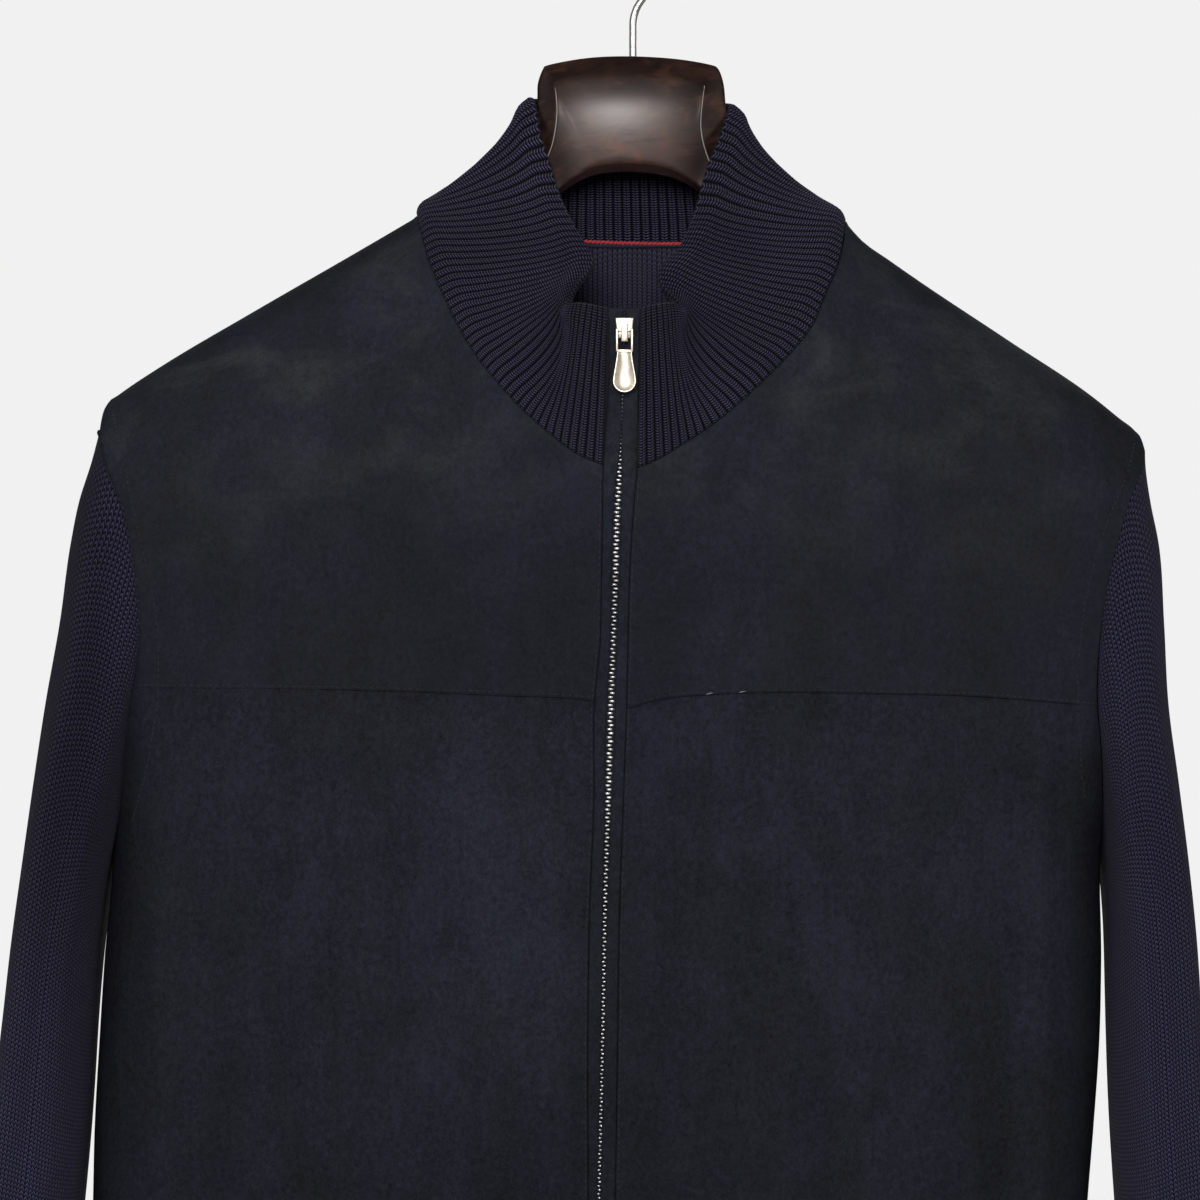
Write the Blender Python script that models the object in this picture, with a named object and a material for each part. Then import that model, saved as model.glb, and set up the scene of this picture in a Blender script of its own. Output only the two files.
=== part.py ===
"""A suede-fronted, zip-up cardigan that hangs on a shaped wooden hanger.

Metres, +Z up. The front faces -Y, and the wearer's right side is at -X.
The origin is the top of the hook's inside, where a rail would carry it.

Every cloth piece is a wall between an outer and an inner grid of points.
The body pieces are patches of two sheets, front and back, that meet along
the shoulder ridge and the side seams. A point of a sheet has two coordinates:
w runs round the body from the centre (0) to a side seam (-1 or +1), and e is
the drop below the shoulder ridge.
"""

import math

import bmesh
import bpy
import numpy as np
from mathutils.bvhtree import BVHTree

FRONT, BACK = -1, 1

# Walls and gaps
SUEDE = 0.0016
KNIT = 0.0022
RIB_KNIT = 0.0026
STRIP = 0.0022
TAPE = 0.0010
SEAM_GAP = 0.0003

# Heights of the seams
HEM = -0.876
BAND_TOP = -0.811
UNDERARM = -0.475
COLLAR_TOP = -0.217
CUFF_TOP = -0.852
CUFF_END = -0.920

# Sheets
SEAM_Y = 0.003  # the shoulder ridge and the side seams lie this far behind the hook
ROUNDNESS = 2.6  # exponent of the body's level section, 2 for an ellipse
SECTION_ASPECT = 0.28  # depth of the section over its width
SETTLING_STEPS = 30  # rounds that settle a point's height and width together

# Collar
RIB_COUNT = 140
RIB_RISE = 0.0007
COLLAR_ROWS = 5
INNER_EVERY = 4  # outer columns to one column of the plain inside

# Zip
STRIP_RECESS = 0.0008
BODY_STRIP_STEPS = 21
COLLAR_STRIP_STEPS = 5
TAPE_DEPTH = 0.0033  # of the tape's front below the cloth's outer face
TAPE_WIDTH = 0.012
TAPE_SPLIT = 0.0006  # from the middle of the zip to each tape
SLIDER_WIDTH = 0.0087
SLIDER_TOP = -0.2216
SLIDER_LENGTH = 0.0098
SLIDER_THICKNESS = 0.0042
SLIDER_NARROWING = 0.78  # the lower end's width over the upper end's
SLIDER_ROUNDING = 0.0011
BRIDGE_WIDTH = 0.0032
BRIDGE_TOP = 0.0030  # above the hinge
BRIDGE_END = 0.0056  # below the hinge
BRIDGE_ROOM = 0.0025  # inside height, over the slider's face
BRIDGE_WALL = 0.0009
BRIDGE_ROUNDING = 0.0009
BRIDGE_TOP_INSIDE = 0.0013  # room above and below the hinge
BRIDGE_LOW_INSIDE = 0.0015
HINGE_X = -0.0045
HINGE_Z = -0.2275
TAB_THICKNESS = 0.0012
TAB_TOP = 0.0006  # above the hinge
TAB_FRAME = 0.0041  # half the width of the frame
TAB_LEG = 0.0012
TAB_FRAME_END = 0.0106
TAB_HOLE_END = 0.0092
TAB_DROP = 0.0057  # radius of the round end
TAB_DROP_CENTRE = 0.0229  # below the hinge
TAB_NECK = ((0.0037, -0.0113), (0.0043, -0.0150), (0.0052, -0.0192))
TAB_ROUND_STEPS = 15
TAB_ROUND_FROM = 12  # degrees below level where the round end begins
BOX_HALF_WIDTH = 0.0038
BOX_THICKNESS = 0.0016
BOX_LOW, BOX_HIGH = 0.001, 0.012  # above the hem
BOX_ROUNDING = 0.0005

# Hanger
WIRE_RADIUS = 0.0018
HOOK_RADIUS = 0.0233  # to the middle of the wire
HOOK_ARC_STEPS = 18
HOOK_TURN = (-38, 205)  # degrees round the rail, from the stem to the tip
HOOK_STEM = (
    (0, -0.0907),
    (0, -0.0800),
    (0.0004, -0.0715),
    (0.0022, -0.0665),
    (0.0052, -0.0620),
    (0.0105, -0.0530),
    (0.0150, -0.0440),
)
CLOTH_TO_WOOD = 0.0009


def table(columns, *rows):
    """A short table as one array for each named column."""
    return dict(zip(columns.split(), np.array(rows, float).T))


# The garment's level sections from the hem up: the sides' x and the two depths.
BODY = table(
    "z       right    left    front   back",
    (-0.880, -0.2540, 0.2020, 0.060, 0.056),
    (-0.830, -0.2620, 0.2110, 0.063, 0.059),
    (-0.740, -0.2640, 0.2170, 0.067, 0.063),
    (-0.645, -0.2618, 0.2204, 0.070, 0.065),
    (-0.610, -0.2610, 0.2232, 0.071, 0.065),
    (-0.565, -0.2585, 0.2262, 0.072, 0.066),
    (-0.530, -0.2563, 0.2270, 0.073, 0.066),
    (-0.475, -0.2520, 0.2270, 0.075, 0.066),
    (-0.400, -0.2580, 0.2420, 0.077, 0.066),
    (-0.330, -0.2680, 0.2560, 0.079, 0.063),
    (-0.290, -0.2720, 0.2620, 0.080, 0.058),
    (-0.230, -0.2720, 0.2620, 0.079, 0.053),
    (-0.160, -0.2720, 0.2620, 0.078, 0.047),
)

# The shoulder ridge as the front view draws it, with the height over which the
# cloth rolls from lying on the hanger to hanging straight down.
RIDGE = table(
    "x        z       front_roll back_roll",
    (-0.2620, -0.2860, 0.040, 0.040),
    (-0.2580, -0.2720, 0.042, 0.042),
    (-0.2527, -0.2574, 0.045, 0.045),
    (-0.2318, -0.2429, 0.055, 0.050),
    (-0.1828, -0.2138, 0.090, 0.060),
    (-0.1324, -0.1847, 0.140, 0.072),
    (-0.1043, -0.1682, 0.165, 0.080),
    (-0.0020, -0.1050, 0.175, 0.082),
    (0.1028, -0.1708, 0.165, 0.080),
    (0.1382, -0.1992, 0.135, 0.070),
    (0.1819, -0.2283, 0.090, 0.060),
    (0.2250, -0.2574, 0.055, 0.048),
    (0.2425, -0.2720, 0.044, 0.042),
    (0.2478, -0.2810, 0.042, 0.042),
    (0.2520, -0.2900, 0.040, 0.040),
)

# Armhole seams, from the underarm up to the shoulder's end.
ARMHOLE = table(
    "z       right    left",
    (-0.4750, -0.2520, 0.2270),
    (-0.4529, -0.2462, 0.2262),
    (-0.4257, -0.2437, 0.2246),
    (-0.4043, -0.2408, 0.2223),
    (-0.3735, -0.2356, 0.2232),
    (-0.3452, -0.2370, 0.2271),
    (-0.3219, -0.2412, 0.2330),
    (-0.3078, -0.2442, 0.2372),
    (-0.2900, -0.2520, 0.2450),
    (-0.2770, -0.2572, 0.2476),
)
ARMHOLE_TOP = -0.2770
SHOULDER_END = {-1: -0.2580, 1: 0.2478}

# Neck seam from the shoulder down to the zip on each side, and behind the neck.
NECK_RIGHT = table(
    "x        z",
    (-0.1043, -0.1682),
    (-0.0985, -0.1903),
    (-0.0908, -0.2093),
    (-0.0834, -0.2244),
    (-0.0738, -0.2400),
    (-0.0623, -0.2540),
    (-0.0500, -0.2669),
    (-0.0387, -0.2766),
    (-0.0275, -0.2850),
    (-0.0148, -0.2906),
)
NECK_LEFT = table(
    "x        z",
    (0.1028, -0.1708),
    (0.0981, -0.1932),
    (0.0918, -0.2080),
    (0.0847, -0.2243),
    (0.0746, -0.2371),
    (0.0621, -0.2498),
    (0.0466, -0.2640),
    (0.0340, -0.2737),
    (0.0230, -0.2809),
    (0.0116, -0.2879),
    (0.0018, -0.2920),
)
BACK_NECK_DROP = -0.1775

# Steps of the walls' grids
NECK_STEPS = 11
SHOULDER_STEPS = 8
BACK_NECK_STEPS = 14
UPPER_ROWS = 8
LOW_ARMHOLE_ROWS = 4
SIDE_ROWS = 8
HEM_ROWS = (HEM, -0.856, -0.833, BAND_TOP)
HEM_FRONT_STEPS = 10
HEM_BACK_STEPS = 20
ROLL_CROWDING = 1.7

# Seam across the chest.
CHEST = table(
    "x        z",
    (-0.2600, -0.3965),
    (-0.1576, -0.3966),
    (-0.0632, -0.3994),
    (-0.0190, -0.4021),
    (-0.0033, -0.4054),
    (0.0076, -0.4025),
    (0.0152, -0.4009),
    (0.0350, -0.3992),
    (0.1262, -0.3990),
    (0.1535, -0.3997),
    (0.1820, -0.4016),
    (0.2400, -0.4072),
)

# The middle of the zip and the two folded edges that the strips lie between.
CENTRE = table(
    "z       right    middle   left",
    (-0.8800, -0.0300, -0.0225, -0.0150),
    (-0.6400, -0.0218, -0.0166, -0.0087),
    (-0.5600, -0.0219, -0.0147, -0.0075),
    (-0.5000, -0.0210, -0.0136, -0.0066),
    (-0.4490, -0.0190, -0.0121, -0.0048),
    (-0.4030, -0.0187, -0.0107, -0.0033),
    (-0.3730, -0.0160, -0.0097, -0.0026),
    (-0.3450, -0.0155, -0.0087, -0.0020),
    (-0.3170, -0.0149, -0.0080, -0.0004),
    (-0.2900, -0.0146, -0.0066, 0.0018),
    (-0.2520, -0.0120, -0.0052, 0.0022),
    (-0.2100, -0.0120, -0.0045, 0.0030),
)

# Soft hanging folds: where each one is at mid height, how it leans, how wide it
# is, how far it stands out (or falls in), and between which heights.
FOLDS = table(
    "face  x        lean    width   rise     top     bottom",
    (-1, -0.2300, 0.020, 0.011, 0.0040, -0.440, -0.840),
    (-1, -0.2050, 0.030, 0.013, -0.0034, -0.430, -0.830),
    (-1, -0.1380, -0.020, 0.022, 0.0030, -0.500, -0.850),
    (-1, -0.0820, 0.015, 0.018, -0.0024, -0.520, -0.850),
    (-1, 0.0450, -0.010, 0.020, 0.0028, -0.560, -0.850),
    (-1, 0.0980, 0.020, 0.016, -0.0030, -0.500, -0.840),
    (-1, 0.1550, -0.015, 0.020, 0.0026, -0.540, -0.850),
    (-1, 0.1960, 0.020, 0.010, 0.0042, -0.420, -0.830),
    (-1, 0.1750, 0.025, 0.012, -0.0030, -0.440, -0.800),
    (1, -0.1900, 0.025, 0.020, 0.0050, -0.430, -0.850),
    (1, -0.1100, -0.020, 0.024, -0.0040, -0.380, -0.840),
    (1, -0.0200, 0.015, 0.028, 0.0046, -0.460, -0.850),
    (1, 0.0700, -0.010, 0.024, -0.0042, -0.400, -0.840),
    (1, 0.1500, 0.020, 0.020, 0.0050, -0.440, -0.850),
)
FOLD_MIDDLE = -0.640
FOLD_FADE = 0.090

# Each collar half's top edge from the zip round to the side of the neck, folded
# once on itself: the place along the neck seam below, then the point.
COLLAR_RIGHT = table(
    "along  x        y        z",
    (0.000, -0.0122, -0.0840, -0.2170),
    (0.080, -0.0188, -0.0850, -0.2157),
    (0.115, -0.0254, -0.0850, -0.2147),
    (0.145, -0.0311, -0.0835, -0.2147),
    (0.165, -0.0339, -0.0790, -0.2155),
    (0.185, -0.0322, -0.0752, -0.2130),
    (0.207, -0.0290, -0.0724, -0.2090),
    (0.236, -0.0250, -0.0690, -0.2032),
    (0.269, -0.0212, -0.0638, -0.1966),
    (0.308, -0.0206, -0.0568, -0.1905),
    (0.360, -0.0246, -0.0490, -0.1838),
    (0.419, -0.0294, -0.0420, -0.1757),
    (0.482, -0.0337, -0.0350, -0.1643),
    (0.581, -0.0378, -0.0290, -0.1530),
    (0.693, -0.0412, -0.0250, -0.1420),
    (0.813, -0.0455, -0.0185, -0.1275),
    (0.927, -0.0506, -0.0085, -0.1150),
    (1.000, -0.0534, 0.0000, -0.1118),
)
COLLAR_LEFT = table(
    "along  x        y        z",
    (0.000, 0.0033, -0.0840, -0.2170),
    (0.060, 0.0089, -0.0850, -0.2157),
    (0.095, 0.0150, -0.0850, -0.2147),
    (0.128, 0.0202, -0.0835, -0.2147),
    (0.150, 0.0241, -0.0790, -0.2158),
    (0.173, 0.0215, -0.0752, -0.2130),
    (0.200, 0.0170, -0.0722, -0.2096),
    (0.231, 0.0132, -0.0686, -0.2052),
    (0.267, 0.0122, -0.0632, -0.1998),
    (0.307, 0.0140, -0.0566, -0.1942),
    (0.361, 0.0185, -0.0490, -0.1882),
    (0.423, 0.0236, -0.0420, -0.1819),
    (0.487, 0.0290, -0.0350, -0.1700),
    (0.587, 0.0344, -0.0280, -0.1575),
    (0.696, 0.0398, -0.0215, -0.1450),
    (0.818, 0.0458, -0.0160, -0.1310),
    (0.929, 0.0496, -0.0085, -0.1190),
    (1.000, 0.0530, 0.0000, -0.1150),
)
# The collar's top edge behind the hanger's neck, from side to side.
COLLAR_BACK = table(
    "along  x        y       z",
    (0.000, -0.0534, 0.0000, -0.1118),
    (0.110, -0.0542, 0.0120, -0.1108),
    (0.240, -0.0474, 0.0245, -0.1098),
    (0.370, -0.0270, 0.0320, -0.1090),
    (0.500, -0.0020, 0.0345, -0.1088),
    (0.630, 0.0230, 0.0322, -0.1096),
    (0.760, 0.0456, 0.0246, -0.1108),
    (0.890, 0.0534, 0.0122, -0.1130),
    (1.000, 0.0530, 0.0000, -0.1150),
)
# How far the collar's wall stands outside a straight line up to its top edge.
COLLAR_BULGE = table(
    "up     side     front",
    (0.00, 0.0000, 0.0000),
    (0.10, 0.0026, 0.0014),
    (0.22, 0.0005, 0.0012),
    (0.38, -0.0022, 0.0010),
    (0.53, -0.0037, 0.0005),
    (0.66, -0.0043, 0.0000),
    (0.80, -0.0035, 0.0000),
    (0.90, -0.0018, 0.0000),
    (1.00, 0.0000, 0.0000),
)
PINCH_ALONG = 0.185  # where the fold pinches each half in below its top corner
PINCH_SPREAD = 0.055
PINCH_IN = 0.0048
PINCH_BACK = 0.0035
COLLAR_SIDE_FROM = 0.25  # place along each half from which the side's bulge sets in
COLLAR_SIDE_OVER = 0.60
BACK_COLLAR_STRAIGHTER = 0.6

# Sleeves as they hang: the outer edge and the edge beside the body.
SLEEVE_EDGE = table(
    "z       right    left    right_in left_in",
    (-0.9300, -0.3545, 0.3060, -0.3085, 0.2660),
    (-0.9000, -0.3520, 0.3040, -0.3060, 0.2645),
    (-0.8700, -0.3490, 0.3010, -0.3010, 0.2600),
    (-0.8400, -0.3430, 0.2985, -0.2920, 0.2530),
    (-0.7500, -0.3290, 0.2900, -0.2795, 0.2440),
    (-0.6500, -0.3160, 0.2810, -0.2668, 0.2345),
    (-0.5900, -0.3085, 0.2765, -0.2618, 0.2310),
    (-0.5581, -0.3046, 0.2745, -0.2602, 0.2302),
    (-0.5193, -0.3002, 0.2721, -0.2578, 0.2298),
    (-0.4805, -0.2949, 0.2682, -0.2552, 0.2294),
    (-0.4417, -0.2895, 0.2634, -0.2530, 0.2290),
    (-0.4029, -0.2837, 0.2585, -0.2530, 0.2290),
    (-0.3641, -0.2769, 0.2566, -0.2530, 0.2290),
    (-0.3253, -0.2716, 0.2541, -0.2530, 0.2290),
    (-0.3059, -0.2677, 0.2503, -0.2530, 0.2290),
    (-0.2865, -0.2619, 0.2478, -0.2530, 0.2290),
)
# Rings of the sleeve below the armhole: heights of the outer and inner edges,
# half the depth from front to back, how much of the armhole's shape is left, and
# how strongly the long folds show.
SLEEVE_RINGS = table(
    "outer    inner    depth   armhole folds",
    (-0.2990, -0.4790, 0.0470, 0.95, 0.00),
    (-0.3280, -0.4830, 0.0500, 0.82, 0.15),
    (-0.3620, -0.4890, 0.0530, 0.62, 0.40),
    (-0.4000, -0.4980, 0.0560, 0.42, 0.70),
    (-0.4400, -0.5120, 0.0590, 0.24, 0.90),
    (-0.4800, -0.5310, 0.0605, 0.11, 1.00),
    (-0.5200, -0.5570, 0.0610, 0.04, 1.00),
    (-0.5650, -0.5920, 0.0605, 0.00, 1.00),
    (-0.6200, -0.6380, 0.0590, 0.00, 1.00),
    (-0.6800, -0.6900, 0.0570, 0.00, 0.90),
    (-0.7400, -0.7450, 0.0545, 0.00, 0.70),
    (-0.8000, -0.8010, 0.0510, 0.00, 0.40),
    (CUFF_TOP, CUFF_TOP, 0.0470, 0.00, 0.00),
)
CUFF_RINGS = table(
    "outer    inner    depth   armhole folds",
    (CUFF_TOP, CUFF_TOP, 0.0470, 0.00, 0.00),
    (-0.8680, -0.8680, 0.0425, 0.00, 0.00),
    (-0.8940, -0.8940, 0.0415, 0.00, 0.00),
    (CUFF_END, CUFF_END, 0.0415, 0.00, 0.00),
)
ARMHOLE_DEPTH = 0.045  # half the armhole's own depth
SLEEVE_Y = -0.001  # middle of the hanging sleeve
SLEEVE_ROUNDNESS = 2.4
# Long soft ridge down each sleeve: its place round the sleeve (0 at the outer
# edge, a quarter at the front), how wide, and how far it rises.
SLEEVE_FOLDS = table(
    "round  spread  rise",
    (0.15, 0.035, 0.0030),
    (0.24, 0.040, -0.0026),
    (0.66, 0.040, 0.0034),
    (0.80, 0.045, -0.0028),
)

# Stations along the hanger's neck, from the -X arm to the +X arm: points of the
# upper outline, of the ridge where the bevel meets the front, and of the lower
# outline, with half the depth.
NECK_BLOCK = table(
    "top_x    top_z    ridge_x  ridge_z  low_x    low_z    depth",
    (-0.0960, -0.1775, -0.0905, -0.1900, -0.0900, -0.2110, 0.0172),
    (-0.0800, -0.1665, -0.0735, -0.1785, -0.0740, -0.1970, 0.0165),
    (-0.0670, -0.1535, -0.0590, -0.1650, -0.0590, -0.1825, 0.0160),
    (-0.0560, -0.1390, -0.0470, -0.1510, -0.0455, -0.1680, 0.0155),
    (-0.0482, -0.1240, -0.0400, -0.1375, -0.0345, -0.1572, 0.0150),
    (-0.0464, -0.1120, -0.0374, -0.1265, -0.0270, -0.1525, 0.0150),
    (-0.0462, -0.1045, -0.0367, -0.1170, -0.0215, -0.1500, 0.0150),
    (-0.0437, -0.0974, -0.0374, -0.1085, -0.0175, -0.1490, 0.0150),
    (-0.0405, -0.0951, -0.0370, -0.1040, -0.0140, -0.1484, 0.0150),
    (-0.0220, -0.0918, -0.0215, -0.1003, -0.0085, -0.1479, 0.0150),
    (-0.0020, -0.0910, -0.0020, -0.0992, -0.0020, -0.1478, 0.0150),
    (0.0200, -0.0922, 0.0198, -0.1008, 0.0065, -0.1482, 0.0150),
    (0.0370, -0.0950, 0.0335, -0.1045, 0.0120, -0.1490, 0.0150),
    (0.0415, -0.0974, 0.0340, -0.1090, 0.0160, -0.1497, 0.0150),
    (0.0440, -0.1050, 0.0330, -0.1170, 0.0205, -0.1508, 0.0150),
    (0.0448, -0.1140, 0.0325, -0.1260, 0.0265, -0.1535, 0.0150),
    (0.0466, -0.1260, 0.0345, -0.1365, 0.0345, -0.1590, 0.0150),
    (0.0540, -0.1410, 0.0410, -0.1510, 0.0455, -0.1700, 0.0155),
    (0.0650, -0.1555, 0.0560, -0.1665, 0.0590, -0.1845, 0.0160),
    (0.0790, -0.1695, 0.0720, -0.1810, 0.0740, -0.2000, 0.0165),
    (0.0940, -0.1815, 0.0885, -0.1930, 0.0900, -0.2145, 0.0172),
)
# The arms beyond it, outwards, with their height and half depth.
ARM = table(
    "x       height  depth",
    (0.1120, 0.0380, 0.0180),
    (0.1260, 0.0378, 0.0190),
    (0.1410, 0.0373, 0.0200),
    (0.1560, 0.0366, 0.0210),
    (0.1710, 0.0357, 0.0220),
    (0.1860, 0.0346, 0.0230),
    (0.2010, 0.0334, 0.0238),
    (0.2150, 0.0318, 0.0240),
    (0.2270, 0.0295, 0.0232),
    (0.2360, 0.0260, 0.0212),
    (0.2410, 0.0205, 0.0180),
)
ARMS_TO_RIGHT = 0.0050  # the arms reach this much further to -X than to +X
RING_ACROSS = (-1.0, -0.8, -0.6, -0.3, 0.0, 0.3, 0.6, 0.8, 1.0)
RING_BELOW = (0.96, 0.6, 0.0, -0.6, -0.96)
BEVEL_START = 0.6  # share of the half depth where the flat top ends
LOW_EDGE_LIFT = 0.10
ARM_EDGE_FALL = 0.004
ARM_LOW_LIFT = 0.006


def smooth(places, values, at):
    """The smooth curve through a table's points, read at one or more places."""
    at = np.asarray(at, float)
    slopes = np.gradient(values, places)
    i = np.clip(np.searchsorted(places, at, side="right") - 1, 0, len(places) - 2)
    step = places[i + 1] - places[i]
    t = np.clip((at - places[i]) / step, 0, 1)
    start = values[i] * (1 + 2 * t) * (1 - t) ** 2 + slopes[i] * step * t * (1 - t) ** 2
    end = values[i + 1] * t**2 * (3 - 2 * t) + slopes[i + 1] * step * t**2 * (t - 1)
    return start + end


def ease(t):
    t = np.clip(t, 0, 1)
    return t * t * (3 - 2 * t)


def unit(vectors):
    return vectors / np.maximum(np.linalg.norm(vectors, axis=-1, keepdims=True), 1e-12)


def spread(points, shares):
    """Points at these shares of the length of the smooth curve through the points."""
    run = np.concatenate([[0], np.cumsum(np.linalg.norm(np.diff(points, axis=0), axis=1))])
    at = np.asarray(shares) * run[-1]
    return np.stack([smooth(run, points[:, i], at) for i in range(points.shape[1])], axis=1)


def even(count):
    return np.linspace(0, 1, count + 1)


def closing(count):
    """Shares that draw closer together towards 1, where the cloth rolls over."""
    return 1 - (1 - even(count)) ** ROLL_CROWDING


def shoulder_line(side):
    """The x of the shoulder seam's points, from the neck out to the sleeve."""
    x = np.linspace((NECK_RIGHT if side < 0 else NECK_LEFT)["x"][0], SHOULDER_END[side], 60)
    ridge = np.stack([x, smooth(RIDGE["x"], RIDGE["z"], x)], axis=1)
    return spread(ridge, closing(SHOULDER_STEPS))[:, 0]


def section_curve():
    """A quarter of the body's level section: w, x and depth, each from 0 to 1."""
    angle = np.linspace(0, math.pi / 2, 400)
    x = np.sin(angle) ** (2 / ROUNDNESS)
    y = np.cos(angle) ** (2 / ROUNDNESS)
    y[-1] = 0
    length = np.hypot(np.diff(x), np.diff(y) * SECTION_ASPECT)
    w = np.concatenate([[0], np.cumsum(length)])
    return w / w[-1], x, y


SECTION_W, SECTION_X, SECTION_Y = section_curve()


def fold_relief(face, x, z):
    relief = np.zeros_like(x)
    for i in np.flatnonzero(FOLDS["face"] == face):
        fold = {name: column[i] for name, column in FOLDS.items()}
        middle = fold["x"] + fold["lean"] * (z - FOLD_MIDDLE)
        fade = ease((fold["top"] - z) / FOLD_FADE) * ease((z - fold["bottom"]) / FOLD_FADE)
        relief += fold["rise"] * fade * np.exp(-(((x - middle) / fold["width"]) ** 2))
    return relief


def roll_of(face, x):
    return smooth(RIDGE["x"], RIDGE["front_roll" if face == FRONT else "back_roll"], x)


def place_of(face, x, z):
    """The (w, e) of the sheet's point that a straight front view shows at x, z."""
    right = smooth(BODY["z"], BODY["right"], z)
    left = smooth(BODY["z"], BODY["left"], z)
    fraction = np.clip((2 * x - right - left) / (left - right), -1, 1)
    w = np.interp(np.abs(fraction), SECTION_X, SECTION_W) * np.sign(fraction)
    drop = np.maximum(smooth(RIDGE["x"], RIDGE["z"], x) - z, 0)
    roll = roll_of(face, x)
    rolled = roll * np.arccos(np.clip(1 - drop / roll, 0, 1)) / (math.pi / 2)
    return np.stack([w, np.where(drop < roll, rolled, drop)], axis=-1)


def cloth_point(face, places):
    """The outer face of the front or back sheet at each (w, e)."""
    w, e = places[..., 0], places[..., 1]
    across = np.interp(np.abs(w), SECTION_W, SECTION_X) * np.sign(w)
    deep = np.interp(np.abs(w), SECTION_W, SECTION_Y)
    z = RIDGE["z"].max() - e
    for _ in range(SETTLING_STEPS):
        right = smooth(BODY["z"], BODY["right"], z)
        left = smooth(BODY["z"], BODY["left"], z)
        x = (right + left) / 2 + across * (left - right) / 2
        roll = roll_of(face, x)
        turned = np.clip(e / roll, 0, 1) * math.pi / 2
        drop = np.where(e < roll, roll * (1 - np.cos(turned)), e)
        z = smooth(RIDGE["x"], RIDGE["z"], x) - drop
    depth = smooth(BODY["z"], BODY["front" if face == FRONT else "back"], z)
    out = depth * deep * np.sin(turned) + fold_relief(face, x, z) * deep * np.sin(turned)
    return np.stack([x, SEAM_Y + face * out, z], axis=-1)


def cloth_normal(face, places):
    """Unit vectors out of the sheet, from small steps along w and e."""
    step_w = np.array([2e-3, 0])
    step_e = np.array([0, 4e-4])
    forward = np.where(places[..., :1] > 0, places - step_w, places)
    along_w = cloth_point(face, forward + step_w) - cloth_point(face, forward)
    lower = places + step_e
    along_e = cloth_point(face, lower) - cloth_point(face, places)
    return unit(np.cross(along_e, along_w)) * -face


def patch(low, high, start, end, rows_at):
    """A grid of places inside four edges: rows go from low to high."""
    v = np.asarray(rows_at)[:, None, None]
    u = np.linspace(0, 1, len(low))[None, :, None]
    ruled = (1 - v) * low[None] + v * high[None] + (1 - u) * start[:, None] + u * end[:, None]
    corners = (1 - v) * ((1 - u) * low[0] + u * low[-1]) + v * ((1 - u) * high[0] + u * high[-1])
    return ruled - corners


def pull_in(grid, edges):
    """Draws a grid's named edges in by half a seam's gap."""
    moved = grid.copy()
    for edge in edges.split():
        axis, last = {"low": (0, 0), "high": (0, 1), "start": (1, 0), "end": (1, 1)}[edge]
        near, next_in = (-1, -2) if last else (0, 1)
        lines = np.moveaxis(moved, axis, 0)
        lines[near] += unit(lines[next_in] - lines[near]) * SEAM_GAP / 2
    return moved


def finish(name, mesh, material, flat_angle=0.6):
    obj = bpy.data.objects.new(name, mesh)
    PARTS.objects.link(obj)
    mesh.materials.append(material)
    mesh.shade_smooth()
    mesh.set_sharp_from_angle(angle=flat_angle)
    return obj


def zip_chains(bm, first, second):
    """Triangles between two chains of points, stepping along whichever lags."""
    i = j = 0
    while i < len(first) - 1 or j < len(second) - 1:
        next_first = (i + 1) / (len(first) - 1)
        next_second = (j + 1) / (len(second) - 1)
        if j == len(second) - 1 or (i < len(first) - 1 and next_first <= next_second):
            bm.faces.new((first[i], first[i + 1], second[j]))
            i += 1
        else:
            bm.faces.new((first[i], second[j + 1], second[j]))
            j += 1


def grid_faces(bm, grid, wraps):
    """The grid's points and faces. Returns its points as rows."""
    rows = [[bm.verts.new(point) for point in row] for row in grid]
    if wraps:
        rows = [row + row[:1] for row in rows]
    for low, high in zip(rows, rows[1:]):
        for i in range(len(low) - 1):
            bm.faces.new((low[i], low[i + 1], high[i + 1], high[i]))
    return rows


def cloth_wall(name, outer, inner, material, wraps=False):
    """A closed wall between two grids, which may differ in their counts."""
    bm = bmesh.new()
    outside = grid_faces(bm, outer, wraps)
    inside = grid_faces(bm, inner, wraps)
    zip_chains(bm, outside[0], inside[0])
    zip_chains(bm, outside[-1], inside[-1])
    if not wraps:
        for column in (0, -1):
            zip_chains(bm, [row[column] for row in outside], [row[column] for row in inside])
    bmesh.ops.recalc_face_normals(bm, faces=bm.faces)
    mesh = bpy.data.meshes.new(name)
    bm.to_mesh(mesh)
    bm.free()
    return finish(name, mesh, material)


def sheet_wall(name, face, places, thickness, material):
    """A wall of the front or back sheet, drawn in at all four edges."""
    normals = cloth_normal(face, places)
    outer = pull_in(cloth_point(face, places), "low high start end")
    cloth_wall(name, outer, outer - normals * thickness, material)


def grid_normal(grid, wraps=False):
    """Unit vectors across a grid of points, by its own neighbours."""
    up = np.gradient(grid, axis=0)
    if wraps:
        along = np.roll(grid, -1, axis=1) - np.roll(grid, 1, axis=1)
    else:
        along = np.gradient(grid, axis=1)
    return unit(np.cross(along, up))


def side_name(side):
    return "right" if side < 0 else "left"


def centre_edge(side, z):
    """The folded edge of a front beside the zip, at each height."""
    return smooth(CENTRE["z"], CENTRE[side_name(side)], z)


def chest_height(x):
    return smooth(CHEST["x"], CHEST["z"], x)


CHEST_LEVEL = -0.4000
ARMHOLE_AT_CHEST = {
    side: float(smooth(ARMHOLE["z"], ARMHOLE[side_name(side)], CHEST_LEVEL)) for side in (-1, 1)
}


def neck_seam(side, count):
    """Front view points (x, z) of the neck seam, from the zip to the shoulder."""
    seam = NECK_RIGHT if side < 0 else NECK_LEFT
    return spread(np.stack([seam["x"], seam["z"]], axis=1)[::-1], even(count))


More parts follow.
